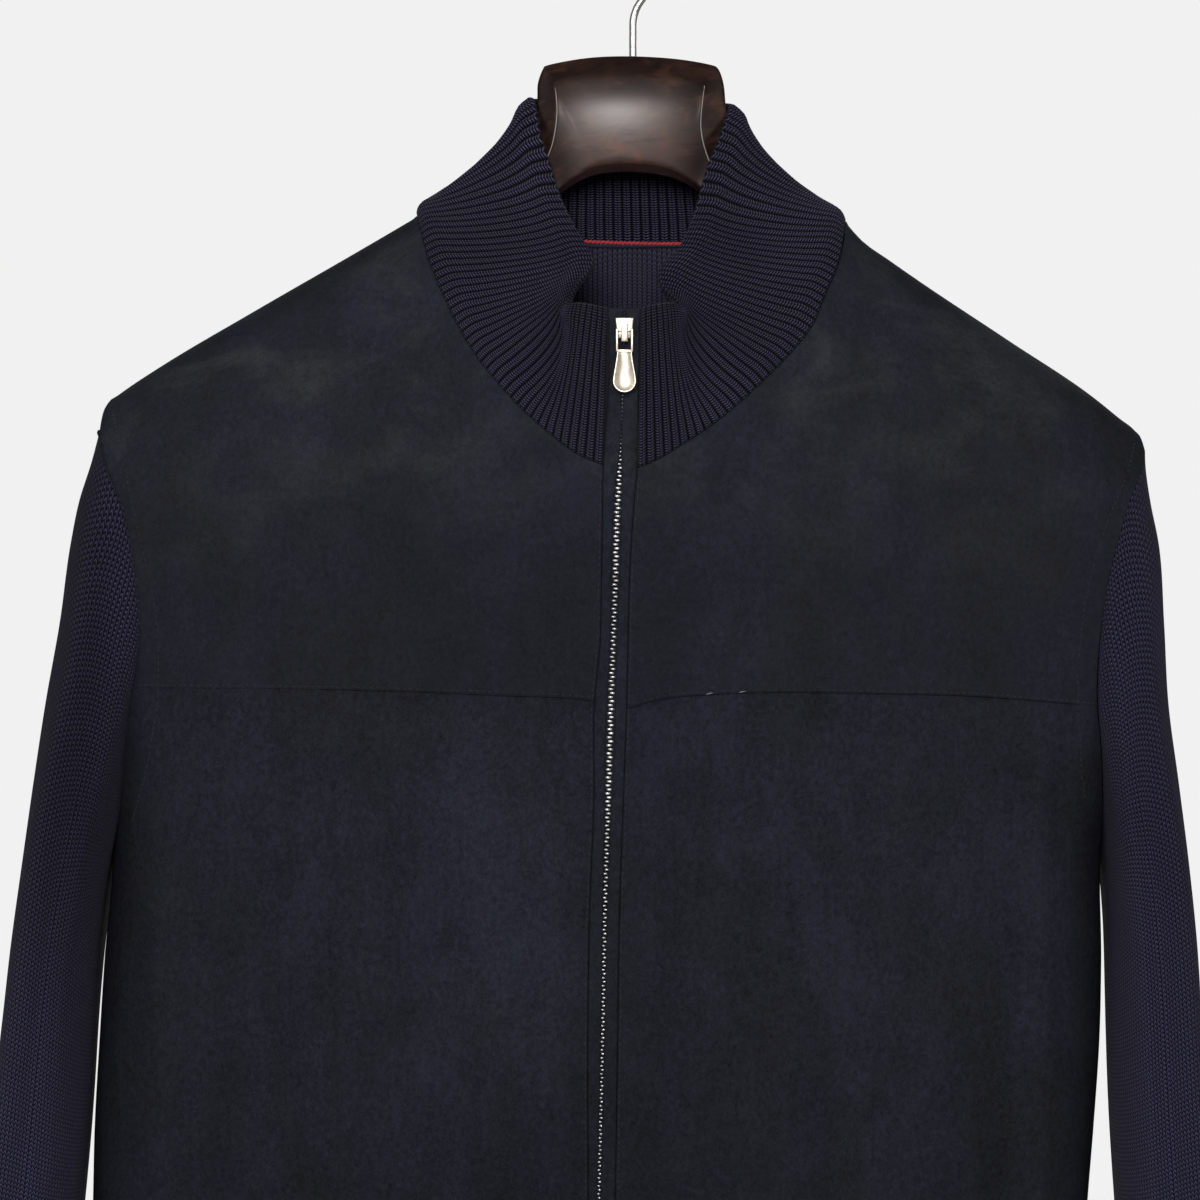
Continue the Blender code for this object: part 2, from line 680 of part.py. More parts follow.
def armhole(side, low, high, shares):
    """Front view points (x, z) of the armhole seam, upwards between two heights."""
    heights = np.linspace(low, high, 40)
    x = smooth(ARMHOLE["z"], ARMHOLE[side_name(side)], heights)
    return spread(np.stack([x, heights], axis=1), shares)


def outer_column(face, side):
    """Places up the armhole from the underarm, in two runs that part at the chest."""
    chest_z = float(chest_height(ARMHOLE_AT_CHEST[side]))
    low = armhole(side, UNDERARM, chest_z, even(LOW_ARMHOLE_ROWS))
    high = armhole(side, chest_z, ARMHOLE_TOP, closing(UPPER_ROWS))
    low_places = place_of(face, low[:, 0], low[:, 1])
    high_places = place_of(face, high[:, 0], high[:, 1])
    low_places[0] = (side, low_places[0][1])
    end = SHOULDER_END[side]
    high_places[-1] = place_of(face, np.array(end), smooth(RIDGE["x"], RIDGE["z"], end))
    return low_places, high_places


def side_column(face, side, low, high, count):
    """Places up a side seam between two heights."""
    z = np.linspace(low, high, count + 1)
    x = smooth(BODY["z"], BODY[side_name(side)], z)
    places = place_of(face, x, z)
    places[:, 0] = side
    return places


def level_row(face, x_from, x_to, height_at, count):
    """Places along a row whose height is a function of x, at even steps of w."""
    ends = np.array([x_from, x_to], float)
    w = np.linspace(*place_of(face, ends, height_at(ends))[:, 0], count + 1)
    across = np.interp(np.abs(w), SECTION_W, SECTION_X) * np.sign(w)
    z = np.full_like(w, height_at(ends)[0])
    for _ in range(SETTLING_STEPS):
        right = smooth(BODY["z"], BODY["right"], z)
        left = smooth(BODY["z"], BODY["left"], z)
        x = (right + left) / 2 + across * (left - right) / 2
        z = height_at(x)
    return np.stack([w, place_of(face, x, z)[:, 1]], axis=1)


def centre_column(side, low, high, shares):
    z = low + (high - low) * np.asarray(shares)
    return place_of(FRONT, centre_edge(side, z), z)


def front_panels(side):
    """The upper and lower front of one side, from the zip out to the armhole."""
    name = side_name(side)
    columns = NECK_STEPS + SHOULDER_STEPS
    low_column, high_column = outer_column(FRONT, side)
    neck = neck_seam(side, NECK_STEPS)
    neck_places = place_of(FRONT, neck[:, 0], neck[:, 1])
    neck_places[-1][1] = 0
    shoulder_x = shoulder_line(side)
    shoulder = place_of(FRONT, shoulder_x, smooth(RIDGE["x"], RIDGE["z"], shoulder_x))
    shoulder[:, 1] = 0
    high_column[-1] = shoulder[-1]
    top = np.concatenate([neck_places, shoulder[1:]])
    chest_start = float(centre_edge(side, CHEST_LEVEL))
    chest_z = float(chest_height(chest_start))
    chest = level_row(FRONT, chest_start, ARMHOLE_AT_CHEST[side], chest_height, columns)
    chest[-1] = high_column[0]
    start = centre_column(side, chest_z, neck[0, 1], closing(UPPER_ROWS))
    start[0], start[-1] = chest[0], top[0]
    upper = patch(chest, top, start, high_column, closing(UPPER_ROWS))
    sheet_wall(f"front_{name}_upper", FRONT, upper, SUEDE, SUEDE_UPPER)
    rows = SIDE_ROWS + LOW_ARMHOLE_ROWS
    hem_x = smooth(BODY["z"], BODY[name], BAND_TOP)
    hem_start = float(centre_edge(side, BAND_TOP))
    hem = level_row(FRONT, hem_start, hem_x, lambda x: np.full_like(x, BAND_TOP), columns)
    seam = side_column(FRONT, side, BAND_TOP, UNDERARM, SIDE_ROWS)
    end = np.concatenate([seam, low_column[1:]])
    hem[-1] = end[0]
    end[-1] = chest[-1]
    start = centre_column(side, BAND_TOP, chest_z, even(rows))
    start[0], start[-1] = hem[0], chest[0]
    lower = patch(hem, chest, start, end, even(rows))
    sheet_wall(f"front_{name}_lower", FRONT, lower, SUEDE, SUEDE_LOWER)


def back_neck(count):
    x = np.linspace(NECK_RIGHT["x"][0], NECK_LEFT["x"][0], count + 1)
    middle = (x[0] + x[-1]) / 2
    ends = smooth(RIDGE["x"], RIDGE["z"], x[[0, -1]])
    level = np.interp(x, x[[0, -1]], ends)
    curve = ((x - middle) / (x[-1] - middle)) ** 2
    z = BACK_NECK_DROP + (level - BACK_NECK_DROP) * curve
    places = place_of(BACK, x, z)
    places[[0, -1], 1] = 0
    return places


def back_panel():
    steps = 2 * SHOULDER_STEPS + BACK_NECK_STEPS
    tops = []
    for side in (-1, 1):
        x = shoulder_line(side)[::-1]
        places = place_of(BACK, x, smooth(RIDGE["x"], RIDGE["z"], x))
        places[:, 1] = 0
        tops.append(places)
    top = np.concatenate([tops[0], back_neck(BACK_NECK_STEPS)[1:], tops[1][::-1][1:]])
    columns = []
    for side, corner in ((-1, top[0]), (1, top[-1])):
        low, high = outer_column(BACK, side)
        seam = side_column(BACK, side, BAND_TOP, UNDERARM, SIDE_ROWS)
        column = np.concatenate([seam, low[1:], high[1:]])
        column[-1] = corner
        columns.append(column)
    right_x, left_x = (smooth(BODY["z"], BODY[name], BAND_TOP) for name in ("right", "left"))
    hem = level_row(BACK, right_x, left_x, lambda x: np.full_like(x, BAND_TOP), steps)
    hem[0], hem[-1] = columns[0][0], columns[1][0]
    low_share = (SIDE_ROWS + LOW_ARMHOLE_ROWS) / sum((SIDE_ROWS, LOW_ARMHOLE_ROWS, UPPER_ROWS))
    rows_at = np.concatenate([
        even(SIDE_ROWS + LOW_ARMHOLE_ROWS) * low_share,
        low_share + (1 - low_share) * closing(UPPER_ROWS)[1:],
    ])
    grid = patch(hem, top, columns[0], columns[1], rows_at)
    sheet_wall("back", BACK, grid, KNIT, KNIT_BODY)


def hem_rib():
    """The rib strip from one zip edge round the back to the other."""
    runs = ((FRONT, "zip", "right"), (BACK, "right", "left"), (FRONT, "left", "zip"))
    points, normals = [], []
    for face, first, last in runs:
        count = HEM_BACK_STEPS if face == BACK else HEM_FRONT_STEPS
        rows = []
        for z in HEM_ROWS:
            x = {name: float(smooth(BODY["z"], BODY[name], z)) for name in ("right", "left")}
            x["zip"] = float(centre_edge(-1 if last == "right" else 1, z))
            row = level_row(face, x[first], x[last], lambda x, level=z: np.full_like(x, level), count)
            for place, name in ((0, first), (-1, last)):
                if name != "zip":
                    row[place, 0] = -1 if name == "right" else 1
            rows.append(row)
        start = 1 if points else 0
        points.append(cloth_point(face, np.array(rows))[:, start:])
        normals.append(cloth_normal(face, np.array(rows))[:, start:])
    outer = pull_in(np.concatenate(points, axis=1), "start end high")
    cloth_wall("hem_band", outer, outer - np.concatenate(normals, axis=1) * RIB_KNIT, RIB)


def armhole_ring(side):
    """The armhole seam all round: shoulder, front, underarm, back."""
    points, normals = [], []
    for face in (FRONT, BACK):
        low, high = outer_column(face, side)
        high[-1][1] = 0
        places = np.concatenate([low, high[1:]])
        points.append(cloth_point(face, places))
        normals.append(cloth_normal(face, places))
    return [np.concatenate([both[0][::-1], both[1][1:-1]]) for both in (points, normals)]


def ellipse_ring(side, outer_z, inner_z, depth, count):
    name = side_name(side)
    outer_x = float(smooth(SLEEVE_EDGE["z"], SLEEVE_EDGE[name], outer_z))
    inner_x = float(smooth(SLEEVE_EDGE["z"], SLEEVE_EDGE[name + "_in"], inner_z))
    turn = np.linspace(0, 2 * math.pi, count, endpoint=False)
    power = 2 / SLEEVE_ROUNDNESS
    across = np.sign(np.cos(turn)) * np.abs(np.cos(turn)) ** power
    along_y = -np.sign(np.sin(turn)) * np.abs(np.sin(turn)) ** power
    outer = np.array([outer_x, SLEEVE_Y, outer_z])
    inner = np.array([inner_x, SLEEVE_Y, inner_z])
    ring = (outer + inner) / 2 + across[:, None] * (outer - inner) / 2
    ring[:, 1] += along_y * depth
    return ring


def sleeve_relief(count, strengths):
    turn = np.arange(count) / count
    relief = np.zeros(count)
    for centre, width, rise in zip(*SLEEVE_FOLDS.values()):
        relief += rise * np.exp(-((((turn - centre + 0.5) % 1 - 0.5) / width) ** 2))
    return np.outer(strengths, relief)


def sleeve_grid(side, seam, rings):
    """Rings down the sleeve, whose first ones keep some of the armhole's shape."""
    plain = ellipse_ring(side, seam[0][2], seam[len(seam) // 2][2], ARMHOLE_DEPTH, len(seam))
    grid = [
        ellipse_ring(side, outer_z, inner_z, depth, len(seam)) + left_over * (seam - plain)
        for outer_z, inner_z, depth, left_over, _ in zip(*rings.values())
    ]
    return np.array(grid)


def tube_wall(name, side, grid, strengths, thickness, material, first_normals=None):
    """A sleeve from its armhole, whose last ring is level, or a cuff from that ring."""
    normals = grid_normal(grid, wraps=True) * side
    relief = sleeve_relief(grid.shape[1], strengths)
    grid = pull_in(grid + normals * relief[..., None], "low high")
    normals = grid_normal(grid, wraps=True) * side
    seam_row = 0 if first_normals is None else -1
    normals[seam_row] = unit(normals[seam_row] * (1, 1, 0))
    if first_normals is not None:
        normals[0] = first_normals
    cloth_wall(name, grid, grid - normals * thickness, material, wraps=True)


def sleeves():
    for side in (-1, 1):
        name = side_name(side)
        seam, seam_normals = armhole_ring(side)
        grid = np.concatenate([seam[None], sleeve_grid(side, seam, SLEEVE_RINGS)])
        strengths = np.concatenate([[0], SLEEVE_RINGS["folds"]])
        tube_wall(f"sleeve_{name}", side, grid, strengths, KNIT, KNIT_BODY, seam_normals)
        cuff = sleeve_grid(side, seam, CUFF_RINGS)
        tube_wall(f"cuff_{name}", side, cuff, CUFF_RINGS["folds"], RIB_KNIT, RIB)


def collar_seam():
    """The neck seam's points and outward directions, from zip to zip in three runs."""
    runs = []
    for side in (-1, 1):
        neck = neck_seam(side, NECK_STEPS)
        places = place_of(FRONT, neck[:, 0], neck[:, 1])
        places[-1][1] = 0
        runs.append(np.stack([cloth_point(FRONT, places), cloth_normal(FRONT, places)]))
    places = back_neck(BACK_NECK_STEPS)
    back = np.stack([cloth_point(BACK, places), cloth_normal(BACK, places)])
    return runs[0], back, runs[1][:, ::-1]


def seam_run(points, values, at):
    """Values along straight seam steps, read at shares of the seam's length."""
    run = np.concatenate([[0], np.cumsum(np.linalg.norm(np.diff(points, axis=0), axis=1))])
    return np.stack([np.interp(at, run / run[-1], values[:, i]) for i in range(3)], axis=1)


def collar_columns():
    """For each column: the seam's point and normal, the top edge's point, and two weights."""
    seams = collar_seam()
    lengths = [np.linalg.norm(np.diff(points, axis=0), axis=1).sum() for points, _ in seams]
    columns = 2 * RIB_COUNT
    counts = [round(columns * length / sum(lengths)) for length in lengths]
    counts[1] = columns - counts[0] - counts[2]
    base, base_normal, top, pinch, sides = [], [], [], [], []
    for part, tops in enumerate((COLLAR_RIGHT, COLLAR_BACK, COLLAR_LEFT)):
        points, outward = seams[part]
        at = even(counts[part])[1 if part else 0:]
        along = 1 - at if part == 2 else at
        base.append(seam_run(points, points, at))
        base_normal.append(unit(seam_run(points, outward, at)))
        top.append(np.stack([smooth(tops["along"], tops[axis], along) for axis in "xyz"], axis=1))
        if part == 1:
            pinch.append(np.zeros(len(at)))
            sides.append(1 - BACK_COLLAR_STRAIGHTER * np.sin(at * math.pi))
        else:
            pinch.append(np.exp(-(((along - PINCH_ALONG) / PINCH_SPREAD) ** 2)) * (1 - part))
            sides.append(ease((along - COLLAR_SIDE_FROM) / COLLAR_SIDE_OVER))
    return [np.concatenate(column) for column in (base, base_normal, top, pinch, sides)]


def collar():
    """The standing collar, ribbed outside, from zip to zip."""
    base, base_normal, top, pinch, sides = collar_columns()
    up = even(COLLAR_ROWS)
    straight = base[None] + (top - base)[None] * up[:, None, None]
    flat_normal = -np.mean(grid_normal(straight), axis=0, keepdims=True)
    bulge = np.outer(smooth(COLLAR_BULGE["up"], COLLAR_BULGE["side"], up), sides)
    bulge += np.outer(smooth(COLLAR_BULGE["up"], COLLAR_BULGE["front"], up), 1 - sides)
    plain = straight + unit(flat_normal) * bulge[..., None]
    arch = np.sin(up * math.pi)
    plain[..., 0] += np.outer(arch, pinch) * PINCH_IN
    plain[..., 1] += np.outer(arch, np.abs(pinch)) * PINCH_BACK
    normals = -grid_normal(plain)
    normals[0] = base_normal
    ribs = np.zeros(plain.shape[1])
    ribs[1::2] = RIB_RISE
    fade = np.ones(len(up))
    fade[0] = 0
    outer = plain + normals * np.outer(fade, ribs)[..., None]
    outer = pull_in(outer, "low start end")
    inner = pull_in(plain, "low start end") - normals * RIB_KNIT
    cloth_wall("collar", outer, inner[:, ::INNER_EVERY], RIB)


def front_line(z):
    """The cloth's y at the middle of the zip, up the fronts and the collar."""
    middle = smooth(CENTRE["z"], CENTRE["middle"], z)
    neck_z = NECK_RIGHT["z"][-1]
    below = cloth_point(FRONT, place_of(FRONT, middle, np.minimum(z, neck_z)))[:, 1]
    rise = ease((z - neck_z) / (COLLAR_TOP - neck_z))
    return below + (COLLAR_RIGHT["y"][0] - below) * rise


def centre_strips():
    """The suede strips beside the zip and the tapes behind them."""
    neck_z = NECK_RIGHT["z"][-1]
    z = np.concatenate([
        np.linspace(HEM, neck_z, BODY_STRIP_STEPS, endpoint=False),
        np.linspace(neck_z, COLLAR_TOP, COLLAR_STRIP_STEPS),
    ])
    y = front_line(z)
    middle = smooth(CENTRE["z"], CENTRE["middle"], z)
    for side in (-1, 1):
        name = side_name(side)
        inside = middle + side * TAPE_SPLIT
        folded_edge = centre_edge(side, z) - side * SEAM_GAP / 2
        lines = (inside, (inside + folded_edge) / 2, folded_edge)
        strip = np.stack([np.stack([x, y + STRIP_RECESS, z], axis=1) for x in lines], axis=1)
        cloth_wall(f"placket_{name}", strip, strip + (0, STRIP, 0), SUEDE_UPPER)
        lines = (inside, middle + side * TAPE_WIDTH)
        tape = np.stack([np.stack([x, y + TAPE_DEPTH, z], axis=1) for x in lines], axis=1)
        cloth_wall(f"zip_tape_{name}", tape, tape + (0, TAPE, 0), ZIP_TAPE)


def box(name, low, high):
    """A box between two corners, as a mesh object outside the parts."""
    bm = bmesh.new()
    bmesh.ops.create_cube(bm, size=1)
    size = np.subtract(high, low)
    centre = np.add(high, low) / 2
    for vert in bm.verts:
        vert.co = centre + np.array(vert.co) * size
    mesh = bpy.data.meshes.new(name)
    bm.to_mesh(mesh)
    bm.free()
    return bpy.data.objects.new(name, mesh)


def boolean(target, operation, other):
    CUTTERS.objects.link(other)
    other.hide_render = True
    other.display_type = "WIRE"
    modifier = target.modifiers.new(operation.lower(), "BOOLEAN")
    modifier.operation = operation
    modifier.object = other


def bevel_mesh(mesh, width, pick):
    """Bevels the edges that the test picks."""
    bm = bmesh.new()
    bm.from_mesh(mesh)
    edges = [edge for edge in bm.edges if pick(edge)]
    bmesh.ops.bevel(
        bm, geom=edges, offset=width, affect="EDGES", segments=2, profile=0.5, material=-1
    )
    bm.to_mesh(mesh)
    bm.free()


def edge_width(edge):
    return abs(edge.verts[0].co.x - edge.verts[1].co.x)


def slider_face():
    """The y of the slider's front, which stands off the strips."""
    return float(front_line(np.array([HINGE_Z]))[0]) + STRIP_RECESS - SEAM_GAP - SLIDER_THICKNESS


def hinge_y():
    return slider_face() - BRIDGE_ROOM / 2


def zip_slider():
    """The slider, narrower below, and the bridge that the pull tab hangs on."""
    face = slider_face()
    middle = SLIDER_TOP - SLIDER_LENGTH / 2
    half = SLIDER_WIDTH / 2
    low = (HINGE_X - half, face, SLIDER_TOP - SLIDER_LENGTH)
    high = (HINGE_X + half, face + SLIDER_THICKNESS, SLIDER_TOP)
    body = box("zip_slider", low, high)
    for vert in body.data.vertices:
        if vert.co.z < middle:
            vert.co.x = HINGE_X + (vert.co.x - HINGE_X) * SLIDER_NARROWING
    bevel_mesh(body.data, SLIDER_ROUNDING, lambda edge: edge_width(edge) < half)
    PARTS.objects.link(body)
    body.data.materials.append(NICKEL)
    half = BRIDGE_WIDTH / 2
    inside = face - BRIDGE_ROOM
    low = (HINGE_X - half, inside - BRIDGE_WALL, HINGE_Z - BRIDGE_END)
    high = (HINGE_X + half, face + SLIDER_THICKNESS / 2, HINGE_Z + BRIDGE_TOP)
    bridge = box("bridge", low, high)
    bevel_mesh(
        bridge.data,
        BRIDGE_ROUNDING,
        lambda edge: edge_width(edge) > half and all(vert.co.y < inside for vert in edge.verts),
    )
    boolean(body, "UNION", bridge)
    low = (HINGE_X - SLIDER_WIDTH, inside, HINGE_Z - BRIDGE_LOW_INSIDE)
    high = (HINGE_X + SLIDER_WIDTH, face, HINGE_Z + BRIDGE_TOP_INSIDE)
    boolean(body, "DIFFERENCE", box("bridge_room", low, high))


def curve_object(name, splines, kind, **settings):
    curve = bpy.data.curves.new(name, "CURVE")
    curve.dimensions = kind
    for points, closed in splines:
        spline = curve.splines.new("POLY")
        spline.points.add(len(points) - 1)
        for point, place in zip(spline.points, points):
            point.co = (*place, 1)
        spline.use_cyclic_u = closed
    for setting, value in settings.items():
        setattr(curve, setting, value)
    return bpy.data.objects.new(name, curve)


def pull_tab():
    """A frame that hangs on the bridge, with a drop-shaped blade below it."""
    angles = np.radians(np.linspace(-TAB_ROUND_FROM, TAB_ROUND_FROM - 180, TAB_ROUND_STEPS))
    round_end = [(TAB_DROP * math.cos(a), TAB_DROP * math.sin(a) - TAB_DROP_CENTRE) for a in angles]
    right = [(TAB_FRAME, TAB_TOP), (TAB_FRAME, -TAB_FRAME_END), *TAB_NECK]
    left = [(-x, z) for x, z in right[::-1]]
    outline = [(x, z, 0) for x, z in right + round_end + left]
    hole_x = TAB_FRAME - TAB_LEG
    hole = [(x, z, 0) for x in (hole_x, -hole_x) for z in (-TAB_TOP, -TAB_HOLE_END)]
    hole = [hole[0], hole[1], hole[3], hole[2]]
    tab = curve_object(
        "pull_tab",
        ((outline, True), (hole, True)),
        "2D",
        fill_mode="BOTH",
        extrude=TAB_THICKNESS / 2,
    )
    pivot = bpy.data.objects.new("pull_tab_pivot", None)
    pivot.location = (HINGE_X, hinge_y(), HINGE_Z)
    PARTS.objects.link(pivot)
    PARTS.objects.link(tab)
    tab.parent = pivot
    tab.rotation_euler = (math.pi / 2, 0, 0)
    tab.data.materials.append(NICKEL)


def zip_box():
    """The block that holds the zip's lower ends together at the hem."""
    z = HEM + np.array([BOX_LOW, BOX_HIGH])
    x = float(smooth(CENTRE["z"], CENTRE["middle"], z.mean()))
    y = float(front_line(z).min()) + STRIP_RECESS - SEAM_GAP
    block = box("zip_box", (x - BOX_HALF_WIDTH, y - BOX_THICKNESS, z[0]), (x + BOX_HALF_WIDTH, y, z[1]))
    bevel_mesh(block.data, BOX_ROUNDING, lambda edge: True)
    PARTS.objects.link(block)
    block.data.materials.append(NICKEL)


def shoulders_underside():
    """The faces of the shoulders' cloth, as a tree that rays can be cast at."""
    bm = bmesh.new()
    for name in ("front_right_upper", "front_left_upper", "back"):
        bm.from_mesh(bpy.data.objects[name].data)
    tree = BVHTree.FromBMesh(bm)
    bm.free()
    return tree


def neck_ring(row):
    top, ridge, low = (
        np.array([row[f"{line}_x"], 0, row[f"{line}_z"]]) for line in ("top", "ridge", "low")
    )
    ring = []
    for share in RING_ACROSS:
        bevel = max(0, (abs(share) - BEVEL_START) / (1 - BEVEL_START))
        ring.append(top + (ridge - top) * bevel + np.array([0, share * row["depth"], 0]))
    for share in RING_BELOW:
        lift = (ridge - low) * LOW_EDGE_LIFT * abs(share)
        ring.append(low + lift + np.array([0, share * row["depth"], 0]))
    return ring


def arm_ring(cloth, x, height, depth):
    """A ring of the arm at x, whose top lies just under the cloth that it carries."""
    def under(y):
        start = (x, y, float(smooth(RIDGE["x"], RIDGE["z"], x)) - roll_of(FRONT, x))
        return cloth.ray_cast(start, (0, 0, 1))[0].z - CLOTH_TO_WOOD

    ring = []
    for share in RING_ACROSS:
        fall = ARM_EDGE_FALL * max(0, (abs(share) - BEVEL_START) / (1 - BEVEL_START)) ** 2
        ring.append((x, share * depth, under(share * depth) - fall))
    low = under(0) - height
    ring += [(x, share * depth, low + ARM_LOW_LIFT * share * share) for share in RING_BELOW]
    return np.array(ring)


def hanger_wood():
    """One loft from arm to arm, through the neck that the hook stands in."""
    cloth = shoulders_underside()
    arms = list(zip(*ARM.values()))
    rings = [arm_ring(cloth, -x - ARMS_TO_RIGHT, height, depth) for x, height, depth in arms[::-1]]
    for i in range(len(NECK_BLOCK["top_x"])):
        rings.append(neck_ring({name: column[i] for name, column in NECK_BLOCK.items()}))
    rings += [arm_ring(cloth, x - ARMS_TO_RIGHT, height, depth) for x, height, depth in arms]
    bm = bmesh.new()
    rows = grid_faces(bm, np.array(rings), wraps=True)
    bm.faces.new(rows[0][:-1])
    bm.faces.new(rows[-1][:-1])
    bmesh.ops.recalc_face_normals(bm, faces=bm.faces)
    bmesh.ops.triangulate(bm, faces=bm.faces)
    mesh = bpy.data.meshes.new("hanger_wood")
    bm.to_mesh(mesh)
    bm.free()
    finish("hanger_wood", mesh, WOOD)


def hanger_hook():
    """A wire stem that leans out and turns over the rail."""
    centre_z = WIRE_RADIUS - HOOK_RADIUS
    arc = np.radians(np.linspace(*HOOK_TURN, HOOK_ARC_STEPS + 1))
    turn = [(HOOK_RADIUS * math.cos(a), 0, centre_z + HOOK_RADIUS * math.sin(a)) for a in arc]
    stem = [(x, 0, z) for x, z in HOOK_STEM]
    hook = curve_object(
        "hanger_hook",
        ((stem + turn, False),),
        "3D",
        bevel_depth=WIRE_RADIUS,
        bevel_resolution=2,
        use_fill_caps=True,
    )
    PARTS.objects.link(hook)
    hook.data.materials.append(STEEL)


def material(name, colour, roughness, metallic=0.0):
    made = bpy.data.materials.new(name)
    made.use_nodes = True
    shader = made.node_tree.nodes["Principled BSDF"]
    shader.inputs["Base Color"].default_value = (*colour, 1)
    shader.inputs["Roughness"].default_value = roughness
    shader.inputs["Metallic"].default_value = metallic
    return made


for leftover in list(bpy.data.objects):
    bpy.data.objects.remove(leftover)

PARTS = bpy.data.collections.new("cardigan")
CUTTERS = bpy.data.collections.new("cutters")
bpy.context.scene.collection.children.link(PARTS)
bpy.context.scene.collection.children.link(CUTTERS)

SUEDE_UPPER = material("suede_upper", (0.020, 0.021, 0.026), 0.95)
SUEDE_LOWER = material("suede_lower", (0.018, 0.019, 0.027), 0.95)
KNIT_BODY = material("knit", (0.016, 0.014, 0.027), 0.90)
RIB = material("rib_knit", (0.018, 0.016, 0.028), 0.90)
ZIP_TAPE = material("zip_tape", (0.012, 0.012, 0.016), 0.90)
NICKEL = material("nickel", (0.80, 0.74, 0.66), 0.30, 1.0)
WOOD = material("dark_wood", (0.060, 0.033, 0.026), 0.30)
STEEL = material("steel_wire", (0.62, 0.62, 0.62), 0.22, 1.0)

for wearer_side in (-1, 1):
    front_panels(wearer_side)
back_panel()
hem_rib()
sleeves()
collar()
centre_strips()
zip_slider()
pull_tab()
zip_box()
hanger_wood()
hanger_hook()
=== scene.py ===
"""The looks of a suede-fronted, zip-up cardigan on a shaped wooden hanger.

Metres, +Z up. The front faces -Y, and the wearer's right side is at -X.
The body's cloth lies on two sheets, front and back, that meet along the shoulder
ridge and the side seams. A place on a sheet is (w, e): w runs round the body from
the centre (0) to a side seam (-1 or +1), and e is the drop below the ridge.
"""

import math

import bmesh
import bpy
import numpy as np
from mathutils import Matrix, Vector


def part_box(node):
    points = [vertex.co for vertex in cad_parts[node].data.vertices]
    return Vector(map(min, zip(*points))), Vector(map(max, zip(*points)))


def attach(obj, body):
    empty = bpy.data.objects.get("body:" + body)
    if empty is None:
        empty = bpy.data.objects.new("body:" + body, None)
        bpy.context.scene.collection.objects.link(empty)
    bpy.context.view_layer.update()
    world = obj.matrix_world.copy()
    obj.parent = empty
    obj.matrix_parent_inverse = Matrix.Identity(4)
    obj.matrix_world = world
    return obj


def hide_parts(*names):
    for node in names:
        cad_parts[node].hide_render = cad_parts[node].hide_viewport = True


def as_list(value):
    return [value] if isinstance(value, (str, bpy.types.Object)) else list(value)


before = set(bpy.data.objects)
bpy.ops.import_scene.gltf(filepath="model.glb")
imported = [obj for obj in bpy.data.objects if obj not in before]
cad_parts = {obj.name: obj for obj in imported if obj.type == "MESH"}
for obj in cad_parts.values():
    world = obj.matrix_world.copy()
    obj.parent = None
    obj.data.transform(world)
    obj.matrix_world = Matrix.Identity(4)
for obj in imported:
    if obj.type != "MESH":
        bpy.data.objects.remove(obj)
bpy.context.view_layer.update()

FRONT, BACK = -1, 1

# Cloth
SUEDE = 0.0016
KNIT = 0.0022
RIB_KNIT = 0.0024
STRIP = 0.0022
TAPE = 0.0010
COURSE = 0.0022  # height of one row of knit stitches
FINE_WALE = 0.0022  # width and height of the fine stitches
FINE_COURSE = 0.0017
RIB_STITCH = 0.0014
RIB_RISE = 0.0005  # how far the ribs of the hem and cuffs stand out and sink in
RIM_STEPS = np.array([0, 0.1, 0.4, 1.0, 1.5])  # how a cut or folded edge is rounded

# Heights of the seams
HEM = -0.876
BAND_TOP = -0.811
UNDERARM = -0.475
COLLAR_TOP = -0.217
CHEST_LEVEL = -0.4000
ARMHOLE_TOP = {-1: -0.2770, 1: -0.2865}
SHOULDER_END = {-1: -0.2580, 1: 0.2478}
BACK_NECK_DROP = -0.1775
HEM_HEIGHT = BAND_TOP - HEM

# Sheets
SEAM_Y = 0.003
ROUNDNESS = 2.6
SECTION_ASPECT = 0.28
SETTLING_STEPS = 24
ROLL_CROWDING = 1.7
NECK_SHARE = 11 / 19  # of a front's top edge that is the neck seam
SIDE_SHARE = 8 / 12  # of a lower front's outer edge that is the side seam
BACK_NECK_FROM, BACK_NECK_TO = 8 / 30, 22 / 30  # where the neck lies along the back's top edge
BACK_LOW = 12 / 20  # of the back's height that is below the chest seam's level
LOW_ARMHOLE, WHOLE_ARMHOLE = 4, 12  # steps of the armhole below the chest seam, and in all
HALF_GIRTH = 0.268

# Sleeves
SLEEVE_WALES = 104
SLEEVE_POINTS = 144  # round the sleeve
SLEEVE_LENGTH = 0.56
CUFF_RIBS = 52
CUFF_LENGTH = 0.068

# Collar
RIB_COUNT = 140
RIB_POINTS = 8
COLLAR_RISE = 0.0006
COLLAR_HEIGHT = 0.078
SIDE_OUT = (0.0042, 0.0025)  # how far the sides of the neck stand out low down
SIDE_OUT_OVER, BACK_OUT_OVER = 0.35, 0.40
CURL_FROM = 0.84  # height from which the collar's top edge curls inwards
CURL_IN = 0.0030
ROLL_MIDDLE = 0.92  # height of the swelling along the top edge
ROLL_SPREAD = 0.07
ROLL_SWELL = 0.40
CHAIN_FALL = 0.0030  # how much lower the red chain is at the wearer's left

